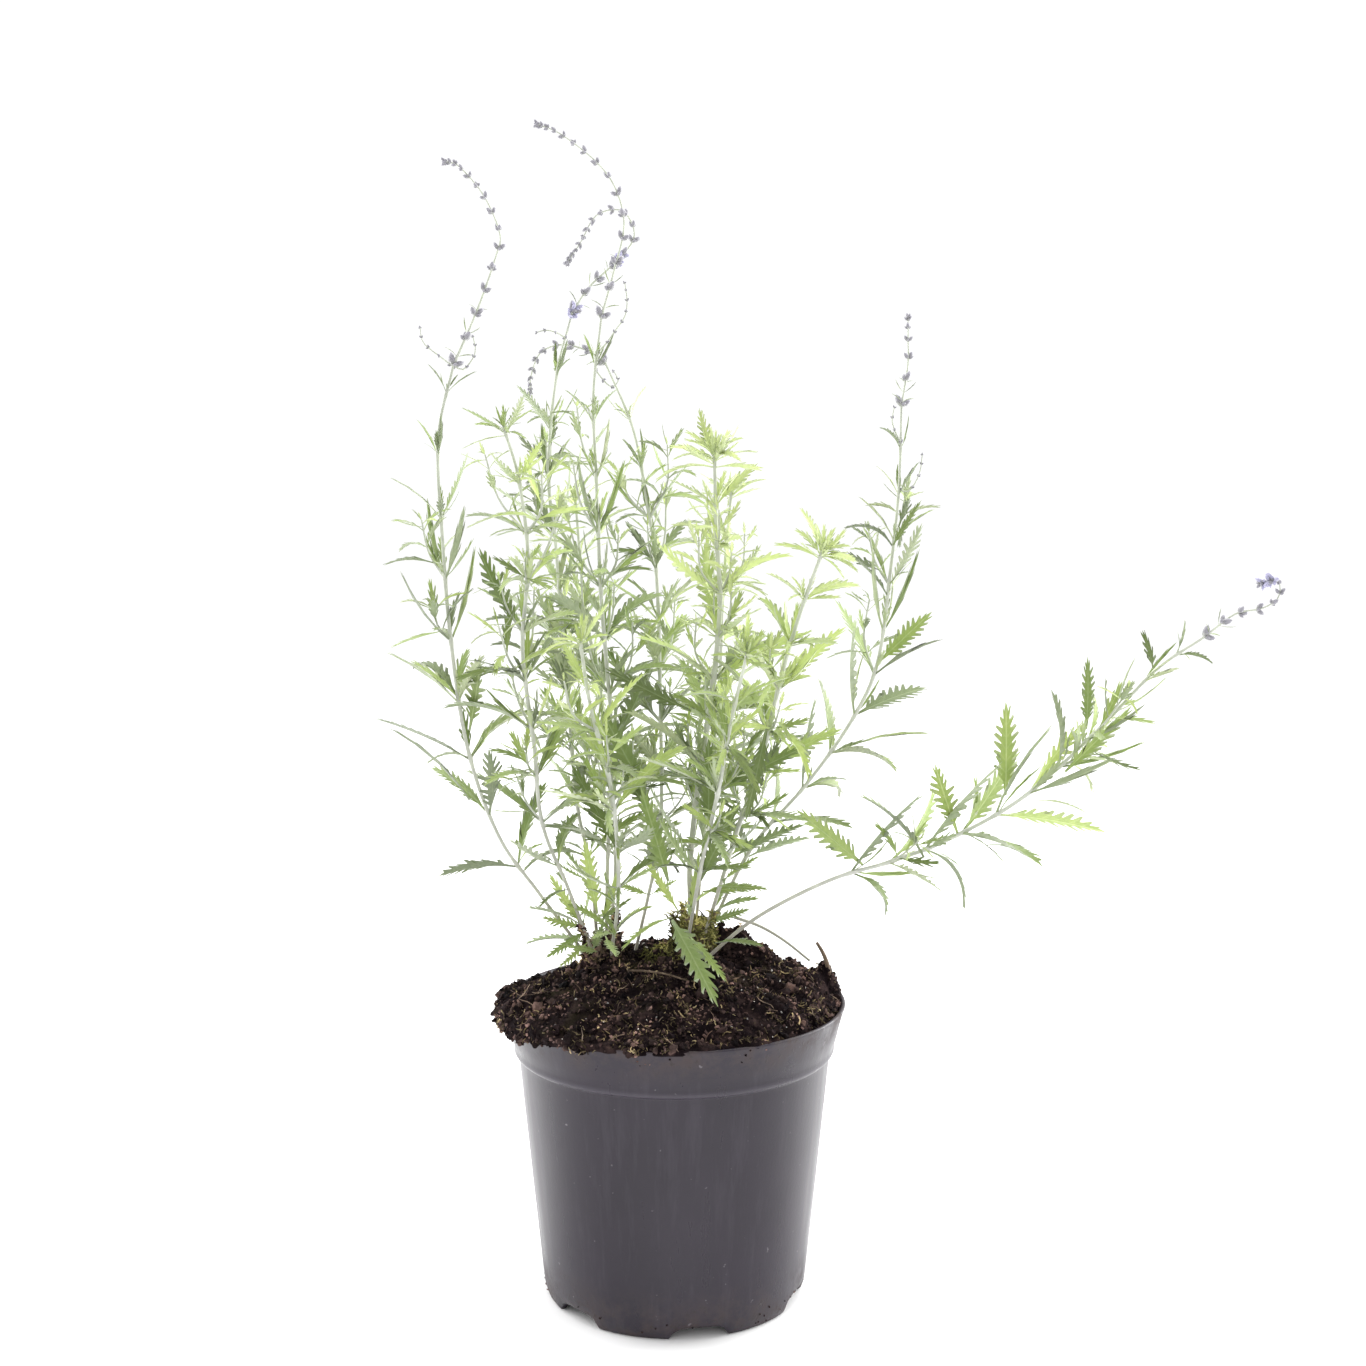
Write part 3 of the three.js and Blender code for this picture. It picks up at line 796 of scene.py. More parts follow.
class Leaves:
    """The points of one piece's leaves, with what the leaf tree needs on each."""

    def __init__(self, dice):
        self.dice = dice
        self.places = []
        self.numbers = {"turn": [], "size": [], "pattern": [], "age": [], "shade": []}

    def add(self, place, lean, upper, length, pattern, age):
        """One leaf. It is cut short where it would pass the depth of the plant."""
        lean = lean.normalized()
        upper = (upper - lean * upper.dot(lean)).normalized()
        limit = REAR_LIMIT if lean.y > 0 else FRONT_LIMIT
        if lean.y:
            length = min(length, max((limit - place.y) / lean.y, SHORTEST_LEAF))
        turn = Matrix((lean, upper.cross(lean), upper)).transposed().to_euler()
        wide = length * self.dice.uniform(*WIDTHS)
        values = (Vector(turn), Vector((length, wide, length)), pattern, min(max(age, 0), 1),
                  self.dice.random())
        self.places.append(place)
        for key, value in zip(self.numbers, values):
            self.numbers[key].append(value)

    def grow(self, name, *nodes):
        """Turns the points into one piece that stands for some CAD nodes."""
        carrier = row_carrier(f"points_{name}", [self.places], self.numbers, joined=False)
        piece = grow(carrier, FOLIAGE_TREE, {"Patterns": patterns, "Finish": LEAF_FINISH}, name)
        return finish_piece(piece, "leaf", *nodes)


def add_tuft(leaves, place, along, count, length, age):
    """Young leaves packed round a growing tip, steeper toward the middle."""
    dice = leaves.dice
    for k in range(count):
        angle = math.radians(GOLDEN_TURN * k + dice.uniform(-15, 15))
        rise = math.radians(14 + 58 * k / count)
        _, lean, upper = leaf_directions(along, angle, rise)
        size = length * (1 - 0.55 * k / count) * dice.uniform(0.85, 1.15)
        leaves.add(place - along * size * 0.2 * (1 - k / count), lean, upper, size,
                   LARGE + dice.randrange(SMALL), age + dice.uniform(-0.1, 0.1))


def add_axil_leaf(leaves, place, along, angle, rise, radius, length, age):
    """One small leaf between a large leaf and the stem."""
    dice = leaves.dice
    turn = math.radians(angle + dice.uniform(-60, 60))
    out, lean, upper = leaf_directions(along, turn, math.radians(rise + dice.uniform(-15, 32)))
    leaves.add(place + out * radius + along * dice.uniform(0, 2) * MM, lean, upper,
               length * dice.uniform(0.28, 0.68), LARGE + dice.randrange(SMALL), age - 0.1)


def add_shoot_leaves(leaves, shoot, tip_age, fullness):
    """The large pairs, with small leaves in their axils, fewer of them low down."""
    dice = leaves.dice
    flowering = "spike" in shoot
    route = shoot["route"]
    for index, share in enumerate(node_shares(shoot)):
        place, along = route.at(share)
        radius = stem_thickness(shoot, share) * 0.6
        length = leaf_length(shoot, share) * MM
        grown = max(share - 0.1, 0) / 0.8
        age = FOOT_AGE + (tip_age - FOOT_AGE) * grown + dice.uniform(-0.2, 0.15)
        axil_share = 0.35 if share < 0.3 else 1
        for half in (0, 180):
            angle = shoot["nodes"]["turn"] + 90 * index + half + dice.uniform(-7, 7)
            rise = 38 + (20 if flowering else 6) * share + dice.uniform(-7, 7)
            out, lean, upper = leaf_directions(along, math.radians(angle), math.radians(rise))
            upper = Matrix.Rotation(math.radians(dice.uniform(-24, 24)), 3, lean) @ upper
            narrow = flowering and share > NARROW_FROM and dice.random() < NARROW_CHANCE
            pattern = LARGE + dice.choice(NARROW) if narrow else dice.randrange(LARGE)
            hanging = HANGING_LENGTH if lean.z < -0.1 else 1.0
            leaves.add(place + out * radius, lean, upper,
                       length * hanging * dice.uniform(0.98, 1.12), pattern, age)
            for _ in range(round(fullness * dice.uniform(2, 4) * axil_share)):
                add_axil_leaf(leaves, place, along, angle, rise, radius, length, age)
    if not flowering:
        add_tuft(leaves, *route.at(1.0), round(12 * fullness),
                 shoot["nodes"]["size"] * (0.6 if tip_age == 0 else 0.42) * MM, tip_age)


def add_bracts(leaves, route, count):
    """Pairs of very small narrow leaves on the lowest part of a flower spike."""
    for index in range(count):
        place, along = route.at(0.04 + 0.11 * index)
        for half in (0, 180):
            angle = math.radians(50 + 90 * index + half)
            _, lean, upper = leaf_directions(along, angle, math.radians(30))
            leaves.add(place, lean, upper, (11 - 2 * index) * MM,
                       LARGE + NARROW[index % 2], 0.95)


def add_low_leaves(leaves, shoot, tip_age):
    """A few pairs of older leaves below the lowest full node."""
    dice = leaves.dice
    for index in range(2):
        share = shoot["nodes"]["from"] * (0.4 + 0.35 * index)
        place, along = shoot["route"].at(share)
        for half in (0, 180):
            angle = math.radians(dice.uniform(0, 180) + half)
            _, lean, upper = leaf_directions(along, angle, math.radians(dice.uniform(20, 60)))
            leaves.add(place, lean, upper, dice.uniform(20, 32) * MM, dice.randrange(LARGE),
                       0.6 + 0.3 * tip_age)


def add_twig_leaves(leaves, shoot, tip_age):
    """Three pairs on each twig, smaller toward its end, and a tuft at the end."""
    dice = leaves.dice
    for order, (route, share, size) in enumerate(shoot["twigs"]):
        age = 0.85 + (tip_age - 0.9) * share + dice.uniform(-0.2, 0.1)
        for pair in range(3):
            place, along = route.at(0.3 + 0.27 * pair)
            for half in (0, 180):
                angle = math.radians(40 * order + 90 * pair + half + dice.uniform(-12, 12))
                rise = math.radians(34 + 8 * pair + dice.uniform(-8, 8))
                out, lean, upper = leaf_directions(along, angle, rise)
                leaves.add(place + out * 0.3 * MM, lean, upper, size * MM * (1 - 0.15 * pair),
                           LARGE + dice.choice((0, 1, 3, 5)), age - 0.1 * pair)
        add_tuft(leaves, *route.at(1.0), 4, size * 0.6 * MM, age - 0.35)


FOLIAGE_TREE = foliage_tree()
total = 0
for order, (name, shoot) in enumerate(SHOOTS.items()):
    leaves = Leaves(random.Random(100 + order))
    add_shoot_leaves(leaves, shoot, TIP_AGE[name], FULLNESS.get(name, USUAL_FULLNESS))
    add_twig_leaves(leaves, shoot, TIP_AGE[name])
    if name in LEAFY_FOOT:
        add_low_leaves(leaves, shoot, TIP_AGE[name])
    if "spike" in shoot:
        add_bracts(leaves, shoot["spike_route"], 2 if name == "arching" else 3)
    total += len(leaves.places)
    prefix = f"leaves_{name}_"
    pairs = [n for n in frame["nodes"] if n.startswith(prefix) and n[len(prefix):].isdigit()]
    leaves.grow(f"sage_leaves_{name}", *pairs)
print(total, "leaves in all")

# %% [markdown]
# ## Single leaves
# Some leaves are so plain in the photograph that they are set one by one: the older, paler
# ones that grow straight from the crowns, a long one that hangs forward over the peat, and
# large ones that stand apart on the outer stems. Each has its two ends, a pattern and an age,
# and shows its upper side either to the front or to the sky. A pattern bends, so its first
# direction is turned away from its far end by half the bend.

# %% Single leaves
FRONT, SKY = Vector((0, -1, 0.35)), Vector((0, 0, 1))
SINGLE_LEAVES = [
    ((-1, -6, 192), (21, -57, 163), 1, 0.75, FRONT), ((8, -8, 184), (26, -34, 168), 1, 0.6, FRONT),
    ((20, -8, 181), (44, -14, 181), 5, 1.0, SKY), ((17, 2, 189), (38, -2, 197), 0, 0.9, FRONT),
    ((-1, -4, 193), (-26, -16, 179), 1, 0.45, SKY), ((14, 4, 204), (44, 6, 206), 2, 0.8, FRONT),
    ((2, 0, 195), (-16, 2, 224), 1, 0.35, FRONT), ((8, 0, 196), (12, -14, 230), 5, 0.5, FRONT),
    ((-44, 2, 186), (-66, -6, 194), 3, 0.6, FRONT), ((-43, -2, 186), (-64, -12, 174), 0, 0.65, FRONT),
    ((-42, -4, 181), (-57, -17, 171), 3, 0.5, FRONT), ((-44, 10, 176), (-78, 34, 168), 1, 0.85, SKY),
    ((-36, -2, 191), (-20, -10, 205), 4, 0.5, FRONT), ((-31, -4, 181), (-9, -10, 200), 2, 0.45, SKY),
    ((-38, -4, 195), (-44, -12, 235), 0, 0.3, FRONT), ((-36, 2, 188), (-26, -4, 222), 5, 0.4, FRONT),
    ((-34, -6, 184), (-28, -30, 180), 3, 0.55, SKY), ((-46, 0, 188), (-62, -4, 216), 1, 0.4, FRONT),
    ((-13, 14, 200), (-31, 8, 208), 0, 0.5, FRONT), ((-12, 14, 200), (2, 6, 210), 3, 0.6, FRONT),
    ((-40, -8, 178), (-34, -24, 196), 0, 0.6, FRONT), ((-38, -6, 176), (-54, -22, 184), 1, 0.7, FRONT),
    ((92, -15, 222), (58, -30, 253), 0, 0.35, FRONT), ((121, -20, 227), (87, -36, 261), 1, 0.6, SKY),
    ((137, -22, 239), (124, -34, 276), 3, 0.75, FRONT), ((159, -26, 259), (157, -34, 306), 0, 0.7, FRONT),
    ((150, -24, 234), (169, -34, 230), 7, 0.8, SKY), ((186, -34, 272), (215, -44, 306), 5, 0.7, FRONT),
    ((195, -36, 293), (194, -40, 328), 1, 0.8, FRONT), ((224, -43, 323), (217, -50, 342), 7, 0.8, FRONT),
    ((199, -38, 282), (219, -52, 276), 9, 0.7, SKY), ((174, -30, 257), (196, -44, 253), 1, 0.85, SKY),
    ((84, 16, 274), (127, 6, 283), 8, 0.9, SKY), ((102, 22, 317), (127, 14, 343), 0, 0.6, FRONT),
    ((108, 26, 374), (121, 14, 398), 1, 0.95, FRONT), ((108, 26, 374), (83, 18, 383), 4, 1.0, SKY),
    ((106, 24, 349), (84, 14, 371), 1, 0.95, SKY), ((106, 24, 350), (118, 18, 368), 8, 0.7, SKY),
    ((-101, -10, 297), (-138, -24, 328), 8, 0.85, SKY), ((-100, -8, 253), (-138, -20, 291), 8, 0.85, SKY),
    ((-99, -12, 288), (-91, -34, 326), 3, 1.0, FRONT), ((43, -60, 297), (33, -66, 254), 1, 0.8, FRONT),
    ((8, -20, 299), (-33, -34, 322), 3, 0.95, FRONT), ((-12, -30, 257), (-35, -44, 305), 0, 0.7, FRONT),
    ((-3, -10, 213), (-16, -34, 265), 0, 0.75, FRONT), ((13, -12, 214), (32, -36, 259), 1, 0.7, FRONT),
    ((22, -4, 209), (47, -16, 210), 1, 0.85, FRONT)]
leaves = Leaves(random.Random(77))
for start, end, pattern, age, upper in SINGLE_LEAVES:
    reach = (Vector(end) - Vector(start)) * MM
    half_bend = PATTERN_BENDS[pattern] / 2
    axis = reach.cross(upper).normalized()
    lean = Matrix.Rotation(half_bend, 3, axis) @ reach
    leaves.add(Vector(start) * MM, lean, Matrix.Rotation(half_bend, 3, axis) @ upper,
               reach.length * half_bend / math.sin(half_bend), pattern, age)
leaves.grow("sage_single_leaves")

# %% [markdown]
# ## Buds
# A flower spike is a thin grey stalk with small clusters of downy, grey-violet buds, wide
# apart at its foot and crowded at its tip. One cluster of buds is modelled, and one of open
# flowers: a few pointed ovals that lean out round the stalk. The spike tree sets clusters
# along the stalk, each turned on from the last.

# %% Buds
BUD_CORNERS = 5
BUD_RINGS = ((0.0, 0.12), (0.4, 0.3), (0.8, 0.24))
BUD_LENGTH = 1.1


def bud_finish(name, foot, middle, tip):
    """Downy buds in three colours from foot to tip, flecked."""
    material, tree, shader = new_finish(name, roughness=0.8, sheen=0.5, sheen_roughness=0.5)
    colour = ramp(tree, mark(tree, "tipward"), [(0.0, *foot), (0.5, *middle), (1.0, *tip)])
    flecks = ramp(tree, speckle(tree, 1500, 2), [(0.3, 0.78, 0.78, 0.82), (0.7, 1.15, 1.15, 1.15)])
    tree.links.new(mix(tree, 1.0, colour, flecks, "MULTIPLY"), shader.inputs["Base Color"])
    bump(tree, shader, speckle(tree, 4000, 2), 0.0001)
    return material


def polar(radius, angle, height):
    """A place given by its distance from the Z axis, its turn round it and its height."""
    return Vector((radius * math.cos(angle), radius * math.sin(angle), height))


def join_rings(tool, rings):
    """Four-sided faces between each ring of corners and the next."""
    for low, high in zip(rings, rings[1:]):
        for k in range(len(low)):
            after = (k + 1) % len(low)
            tool.faces.new((low[k], low[after], high[after], high[k]))


def ring_turns(count):
    """Even turns round a circle, in radians."""
    return [2 * math.pi * k / count for k in range(count)]


def bud_cluster(name, sizes, leans, slim):
    """Buds round the stalk, each a pointed oval of a few faces. Lengths are in units."""
    tool = bmesh.new()
    tipward = tool.verts.layers.float.new("tipward")
    for k, (size, lean) in enumerate(zip(sizes, leans)):
        spin = Matrix.Rotation(2 * math.pi * k / len(sizes) + 0.5 * (k % 2), 4, "Z")
        spin = spin @ Matrix.Rotation(math.radians(lean), 4, "Y")
        rings = []
        for height, radius in BUD_RINGS:
            ring = [tool.verts.new(spin @ (polar(radius * slim, turn, height) * size))
                    for turn in ring_turns(BUD_CORNERS)]
            for corner in ring:
                corner[tipward] = height
            rings.append(ring)
        top = tool.verts.new(spin @ Vector((0, 0, BUD_LENGTH * size)))
        top[tipward] = 1.0
        tool.faces.new(list(reversed(rings[0])))
        join_rings(tool, rings)
        for c in range(BUD_CORNERS):
            tool.faces.new((rings[-1][c], rings[-1][(c + 1) % BUD_CORNERS], top))
    for face in tool.faces:
        face.smooth = True
    return bpy.data.objects.new(name, mesh_of(tool, name))


BUD_FINISH = bud_finish("violet_bud", (0.36, 0.37, 0.33), (0.26, 0.252, 0.28),
                        (0.37, 0.36, 0.40))
FLOWER_FINISH = bud_finish("violet_flower", (0.36, 0.36, 0.41), (0.37, 0.36, 0.50),
                           (0.50, 0.48, 0.66))
BUD_CLUSTER = bud_cluster("bud_cluster", (1.1, 0.8, 1.25, 0.7), (48, 66, 34, 58), 1.0)
FLOWER_CLUSTER = bud_cluster("flower_cluster", (1.2, 0.9, 1.4, 1.0, 1.3), (60, 85, 40, 70, 95), 0.8)
for cluster in (BUD_CLUSTER, FLOWER_CLUSTER):
    bpy.context.scene.collection.objects.link(cluster)
print(len(BUD_CLUSTER.data.polygons), "faces in a bud cluster")

# %% Flower spikes
STALK_TIP_RADIUS = 0.3
STALK_STEP = 2.5
CLUSTER_TURN = 1.9
CLUSTER_SIZES = (4.7, 2.3)
SPIKE_CROWDING = 1.9
SPACING = {"far_left": 6.8, "back_left": 5.2, "tall": 6.6, "middle": 5.0, "right": 6.0,
           "arching": 5.2}


def spike_tree():
    """A round stalk along the points, with clusters that crowd toward its tip."""
    tree, given = new_growth("flower spike", {
        "Cluster": "NodeSocketObject", "Count": "NodeSocketInt", "Crowding": "NodeSocketFloat",
        "First": "NodeSocketFloat", "Last": "NodeSocketFloat", "Stalk": "NodeSocketMaterial",
        "Buds": "NodeSocketMaterial"})
    curve = put(tree, "GeometryNodeMeshToCurve", {"Mesh": given["Geometry"]}).outputs[0]
    circle = put(tree, "GeometryNodeCurvePrimitiveCircle", {"Resolution": 6, "Radius": 1.0})
    stalk = sweep(tree, curve, circle.outputs[0])
    index = put(tree, "GeometryNodeInputIndex").outputs[0]
    evenly = sums(tree, "DIVIDE", index, sums(tree, "SUBTRACT", given["Count"], 1.0))
    left_over = sums(tree, "POWER", sums(tree, "SUBTRACT", 1.0, evenly), given["Crowding"])
    share = sums(tree, "SUBTRACT", 1.0, left_over)
    spot = put(tree, "GeometryNodeSampleCurve", {"Curves": curve, "Factor": share}, mode="FACTOR")
    points = put(tree, "GeometryNodePoints", {"Count": given["Count"],
                                              "Position": spot.outputs["Position"]})
    upright = put(tree, "FunctionNodeAlignRotationToVector", {"Vector": spot.outputs["Tangent"]},
                  axis="Z")
    spin = put(tree, "FunctionNodeAxisAngleToRotation", {
        "Axis": (0, 0, 1), "Angle": sums(tree, "MULTIPLY", index, CLUSTER_TURN)})
    turned = put(tree, "FunctionNodeRotateRotation", {"Rotation": upright.outputs[0],
                 "Rotate By": spin.outputs[0]}, rotation_space="LOCAL")
    size = put(tree, "ShaderNodeMapRange", {"Value": share, "To Min": given["First"],
                                            "To Max": given["Last"]})
    picked = put(tree, "GeometryNodeObjectInfo", {"Object": given["Cluster"], "As Instance": True})
    clusters = put(tree, "GeometryNodeInstanceOnPoints", {
        "Points": points.outputs[0], "Instance": picked.outputs["Geometry"],
        "Rotation": turned.outputs[0], "Scale": size.outputs[0]})
    whole = put(tree, "GeometryNodeJoinGeometry")
    for part, finish in ((clusters.outputs[0], "Buds"), (stalk, "Stalk")):
        tree.links.new(painted(tree, part, given[finish]), whole.inputs[0])
    put(tree, "NodeGroupOutput", {"Geometry": whole.outputs[0]})
    return tree


def add_spike(name, route, radius, spacing, sizes, crowding, *nodes, open_flowers=False):
    """A stalk with clusters. Crowding is 1 where they stand evenly, and more toward the tip."""
    shares = even_shares(route.length, STALK_STEP * MM)
    thickness = [(radius + (STALK_TIP_RADIUS - radius) * s ** 0.6) * MM for s in shares]
    carrier = row_carrier(f"rows_{name}", [[route.at(s)[0] for s in shares]],
                          {"thickness": thickness, "along": [0.75 + 0.25 * s for s in shares]})
    piece = grow(carrier, SPIKE_TREE, {
        "Cluster": FLOWER_CLUSTER if open_flowers else BUD_CLUSTER,
        "Buds": FLOWER_FINISH if open_flowers else BUD_FINISH, "Stalk": STEM_FINISH,
        "Count": max(round(route.length / (spacing * MM)), 3), "Crowding": crowding,
        "First": sizes[0] * MM, "Last": sizes[1] * MM}, name)
    return finish_piece(piece, "flower", *nodes)


SPIKE_TREE = spike_tree()
for name, shoot in SHOOTS.items():
    if "spike" in shoot:
        add_spike(f"sage_spike_{name}", shoot["spike_route"], shoot["radii"][1], SPACING[name],
                  CLUSTER_SIZES, SPIKE_CROWDING, f"flowers_{name}")

# %% [markdown]
# ## Side sprays
# Thin, curled sprays of tiny buds spring from the upper nodes, and three clusters of open
# flowers sit on the spikes. The same tree makes them, on short routes of their own.

# %% Side sprays
SPRAYS = {
    "far_left_a": [(-104, -22, 463), (-109, -23, 467), (-113, -24, 470), (-117, -25, 474),
                   (-118, -25, 480)],
    "far_left_b": [(-103, -22, 463), (-99, -21, 461), (-95, -20, 465), (-93, -19, 470),
                   (-94, -19, 476)],
    "tall_a": [(-36, -15, 469), (-32, -14, 473), (-27, -13, 480), (-23, -12, 486),
               (-22, -12, 493), (-23, -12, 501)],
    "tall_b": [(-37, -15, 461), (-33, -18, 456), (-29, -20, 453), (-26, -21, 456), (-28, -21, 460)],
    "back_left_a": [(-54, 50, 476), (-59, 47, 479), (-64, 45, 480), (-68, 44, 479)],
    "right_a": [(111, 28, 402), (115, 27, 401), (118, 26, 404), (121, 25, 411), (122, 25, 419)],
    "right_b": [(112, 29, 425), (109, 27, 430), (107, 26, 436), (108, 26, 442)]}
SPRAY = {"radius": 0.5, "spacing": 4.5, "sizes": (1.7, 1.3), "crowding": 1.2}
FLOWERING = {"back_left": (0.0, 0.33), "arching": (0.93,)}
OPEN_HEAD = {"radius": 0.6, "spacing": 2.0, "sizes": (3.7, 3.2), "crowding": 1.0,
             "open_flowers": True}
HALF_HEAD = 2.5
for name, points in SPRAYS.items():
    add_spike(f"sage_spray_{name}", Route(in_metres(points)), **SPRAY)
for name, shares in FLOWERING.items():
    for order, share in enumerate(shares):
        place, along = SHOOTS[name]["spike_route"].at(share)
        ends = [place - along * HALF_HEAD * MM, place, place + along * HALF_HEAD * MM]
        add_spike(f"sage_flowers_{name}_{order}", Route(ends), **OPEN_HEAD)

# %% [markdown]
# ## Pot
# The pot is moulded plastic: a thin tapering wall, a ledge under a rim band that leans out,
# and a foot ring cut by six low arches that let water out. All of that is one outline turned
# about the axis, so the mesh is made as rings. The arches are made by lifting the lowest
# rings where an arch stands, which keeps the shell closed without any cutting.

# %% Pot
POT_TURNS = 144
RIM_HEIGHT = 150
RIM_WAVER = 0.25
ARCH_COUNT = 6
FIRST_ARCH = math.radians(-78.6)
ARCH_WIDTH = 28
ARCH_HEIGHT = 5.5
ARCH_FADE = 12
FOOT_RADIUS = 63
FOOT_INSIDE = 59
# Radius and height, from the middle of the underside over the outside to the inside floor.
POT_OUTLINE = [
    (0.01, 0), (20, 0), (44, 0), (45.6, 0.3), (46.6, 1.6), (47.5, 3.3), (48.4, 3.7), (54, 3.7),
    (58.8, 3.7), (59.6, 3.2), (60.0, 1.2), (60.5, 0.15), (61.3, 0), (62.6, 0), (63.3, 0.3),
    (64.2, 1.5), (65.2, 4.2), (65.8, 7.0), (66.2, 10.5), (67.2, 20), (69.2, 40), (71.2, 60),
    (73.1, 80), (75.1, 100), (76.4, 114), (77.2, 122), (77.4, 124.2), (77.6, 124.9), (78.3, 125.2),
    (78.9, 125.6), (79.4, 126.3), (79.75, 127.1), (79.8, 127.8), (79.7, 128.6), (79.9, 130.5),
    (80.7, 133), (81.6, 137), (82.6, 141), (83.5, 144.6), (84.3, 147.4), (84.9, 148.9),
    (84.95, 149.6), (84.5, 150), (83.6, 150), (82.9, 149.6), (82.4, 148.6), (80.2, 139),
    (77.9, 128.6), (77.3, 126.2), (75.9, 122.5), (73.4, 98), (70.5, 68), (67.4, 38), (64.9, 13),
    (64.2, 8.4), (62.8, 5.9), (61.4, 5.3), (46.4, 5.2), (45.4, 3.6), (44.6, 2.0), (43.4, 1.6),
    (20, 1.6), (0.01, 1.6)]
OUTER_POINTS = 20


def arch_lift(angle):
    """How far an arch stands above the ground at this angle, in millimetres."""
    step = 2 * math.pi / ARCH_COUNT
    off = (angle - FIRST_ARCH + step / 2) % step - step / 2
    across = abs(off) * FOOT_RADIUS / (ARCH_WIDTH / 2)
    return ARCH_HEIGHT * (1 - across ** 4) ** 0.5 if across < 1 else 0


def ring_mesh(name, rings):
    """A closed body of rings in millimetres. A ring of one point at the start is its top."""
    tool = bmesh.new()
    rings = [[tool.verts.new(p * MM) for p in ring] for ring in rings]
    first, second = rings[:2]
    if len(first) == 1:
        for k in range(len(second)):
            tool.faces.new((first[0], second[k], second[(k + 1) % len(second)]))
        join_rings(tool, rings[1:])
    else:
        join_rings(tool, rings)
        tool.faces.new(first)
    tool.faces.new(rings[-1])
    bmesh.ops.recalc_face_normals(tool, faces=tool.faces[:])
    for face in tool.faces:
        face.smooth = True
    return in_scene(name, mesh_of(tool, name))


def pot_rings():
    """The outline turned round the axis. Its outer foot is lifted at the arches."""
    rings = []
    for index, (radius, height) in enumerate(POT_OUTLINE):
        lifted = radius > FOOT_INSIDE and height < ARCH_FADE and index < OUTER_POINTS
        ring = []
        for angle in ring_turns(POT_TURNS):
            z = height + arch_lift(angle) * (1 - height / ARCH_FADE) if lifted else height
            waver = RIM_WAVER * math.sin(2 * angle + 0.6) * height / RIM_HEIGHT
            ring.append(polar(radius + waver, angle, z))
        rings.append(ring)
    return rings


def pot_finish():
    """Scuffed plastic, with a painted highlight along the ledge. Level is 0 at the ground and 0.75 at the
    rim, for the ramps.
    """
    material, tree, shader = new_finish("pot_plastic", specular=0.43)
    broad = speckle(tree, 14, 4, 0.6)
    base = ramp(tree, broad, [(0.3, 0.010, 0.006, 0.014), (0.7, 0.017, 0.011, 0.022)])
    streaks = speckle(tree, 90, 5, 0.7, (1, 1, 0.06))
    worn = mix(tree, sums(tree, "MULTIPLY", fade(tree, streaks, 0.52, 0.8), 0.3), base,
               (0.08, 0.07, 0.09))
    places = put(tree, "ShaderNodeTexCoord").outputs["Object"]
    z = put(tree, "ShaderNodeSeparateXYZ", {0: places}).outputs["Z"]
    level = sums(tree, "MULTIPLY", z, 5.0)
    # A painted highlight: a pale line along the ledge, where the ledge would catch the light.
    ledge = ramp(tree, level, [(0.621, 0, 0, 0), (0.629, 1, 1, 1), (0.636, 1, 1, 1),
                               (0.645, 0, 0, 0)])
    ledge_painted_highlight = mix(tree, sums(tree, "MULTIPLY", ledge, 0.1), worn, (0.22, 0.20, 0.25))
    spots = fade(tree, speckle(tree, 60, 6, 0.75), 0.42, 0.62)
    low = ramp(tree, level, [(0.0, 1, 1, 1), (0.14, 0, 0, 0)])
    high = fade(tree, level, 0.66, 0.745)
    dusty = sums(tree, "MULTIPLY", sums(tree, "MAXIMUM", low, high), spots)
    dirty = mix(tree, sums(tree, "MULTIPLY", dusty, 0.5), ledge_painted_highlight, (0.085, 0.060, 0.050))
    grains = sums(tree, "MULTIPLY", dusty, fade(tree, speckle(tree, 420, 2, 0.4), 0.6, 0.66))
    pale = fade(tree, speckle(tree, 300, 2, 0.5), 0.72, 0.78)
    specked = mix(tree, sums(tree, "MULTIPLY", pale, 0.4), dirty, (0.24, 0.22, 0.24))
    colour = mix(tree, sums(tree, "MULTIPLY", grains, 0.75), specked, (0.018, 0.013, 0.010))
    tree.links.new(colour, shader.inputs["Base Color"])
    rough = ramp(tree, streaks, [(0.3, 0.24, 0.24, 0.24), (0.75, 0.42, 0.42, 0.42)])
    tree.links.new(mix(tree, dusty, rough, (0.75, 0.75, 0.75)), shader.inputs["Roughness"])
    relief = sums(tree, "ADD", speckle(tree, 700, 3), sums(tree, "MULTIPLY", grains, 3.0))
    bump(tree, shader, relief, 0.00012, 0.35)
    return material


pot = ring_mesh("nursery_pot", pot_rings())
pot.data.materials.append(pot_finish())
finish_piece(pot, "pot_plastic", "pot")

# %% [markdown]
# ## Peat
# The peat fills the pot, stands above it in a loose, lumpy mound, and spills over the rim at
# the left and in front. At the back left it lies low, so the rim shows. The bulk is one
# closed lump made of rings, its surface pushed in and out by noise at four scales. One small
# table holds the lumps, as place, radius and rise. Another holds the spills, as direction and
# width in degrees and amount. All lengths here are millimetres.

# %% Peat mound
NOISE_SEED = 7
MOUND = [(0, 174), (24, 171), (42, 166), (58, 161.5), (72, 157), (82, 153.5), (90, 151)]
MOUND_TURNS = 260
MOUND_RINGS = 62
LUMPS = [((-4, 3), 9, 6), ((34, 18), 11, 15), ((22, 20), 9, 11), ((47, 14), 8, 8),
         ((76, 5), 9, 14), ((66, -6), 10, 5), ((20, -40), 15, 4), ((-46, -34), 17, 4),
         ((-74, -24), 12, 5), ((5, 22), 14, 5), ((50, -46), 15, 4), ((-18, 22), 13, 4),
         ((-54, 44), 22, -7), ((-66, 26), 14, -3), ((-10, -60), 14, 3), ((-30, -16), 12, 3),
         ((62, 30), 13, 4)]
SPILLS = [(190, 26, 1.0), (226, 20, 0.5), (264, 26, 0.26), (302, 16, 0.16), (8, 12, 0.2)]
DIP_FROM, DIP_WIDTH, DIP_DEPTH = 68, 14, 4.5
PEAT_RADIUS = 81.4
RIM_INSIDE = 81.6
RIM_LEVEL = 148.4
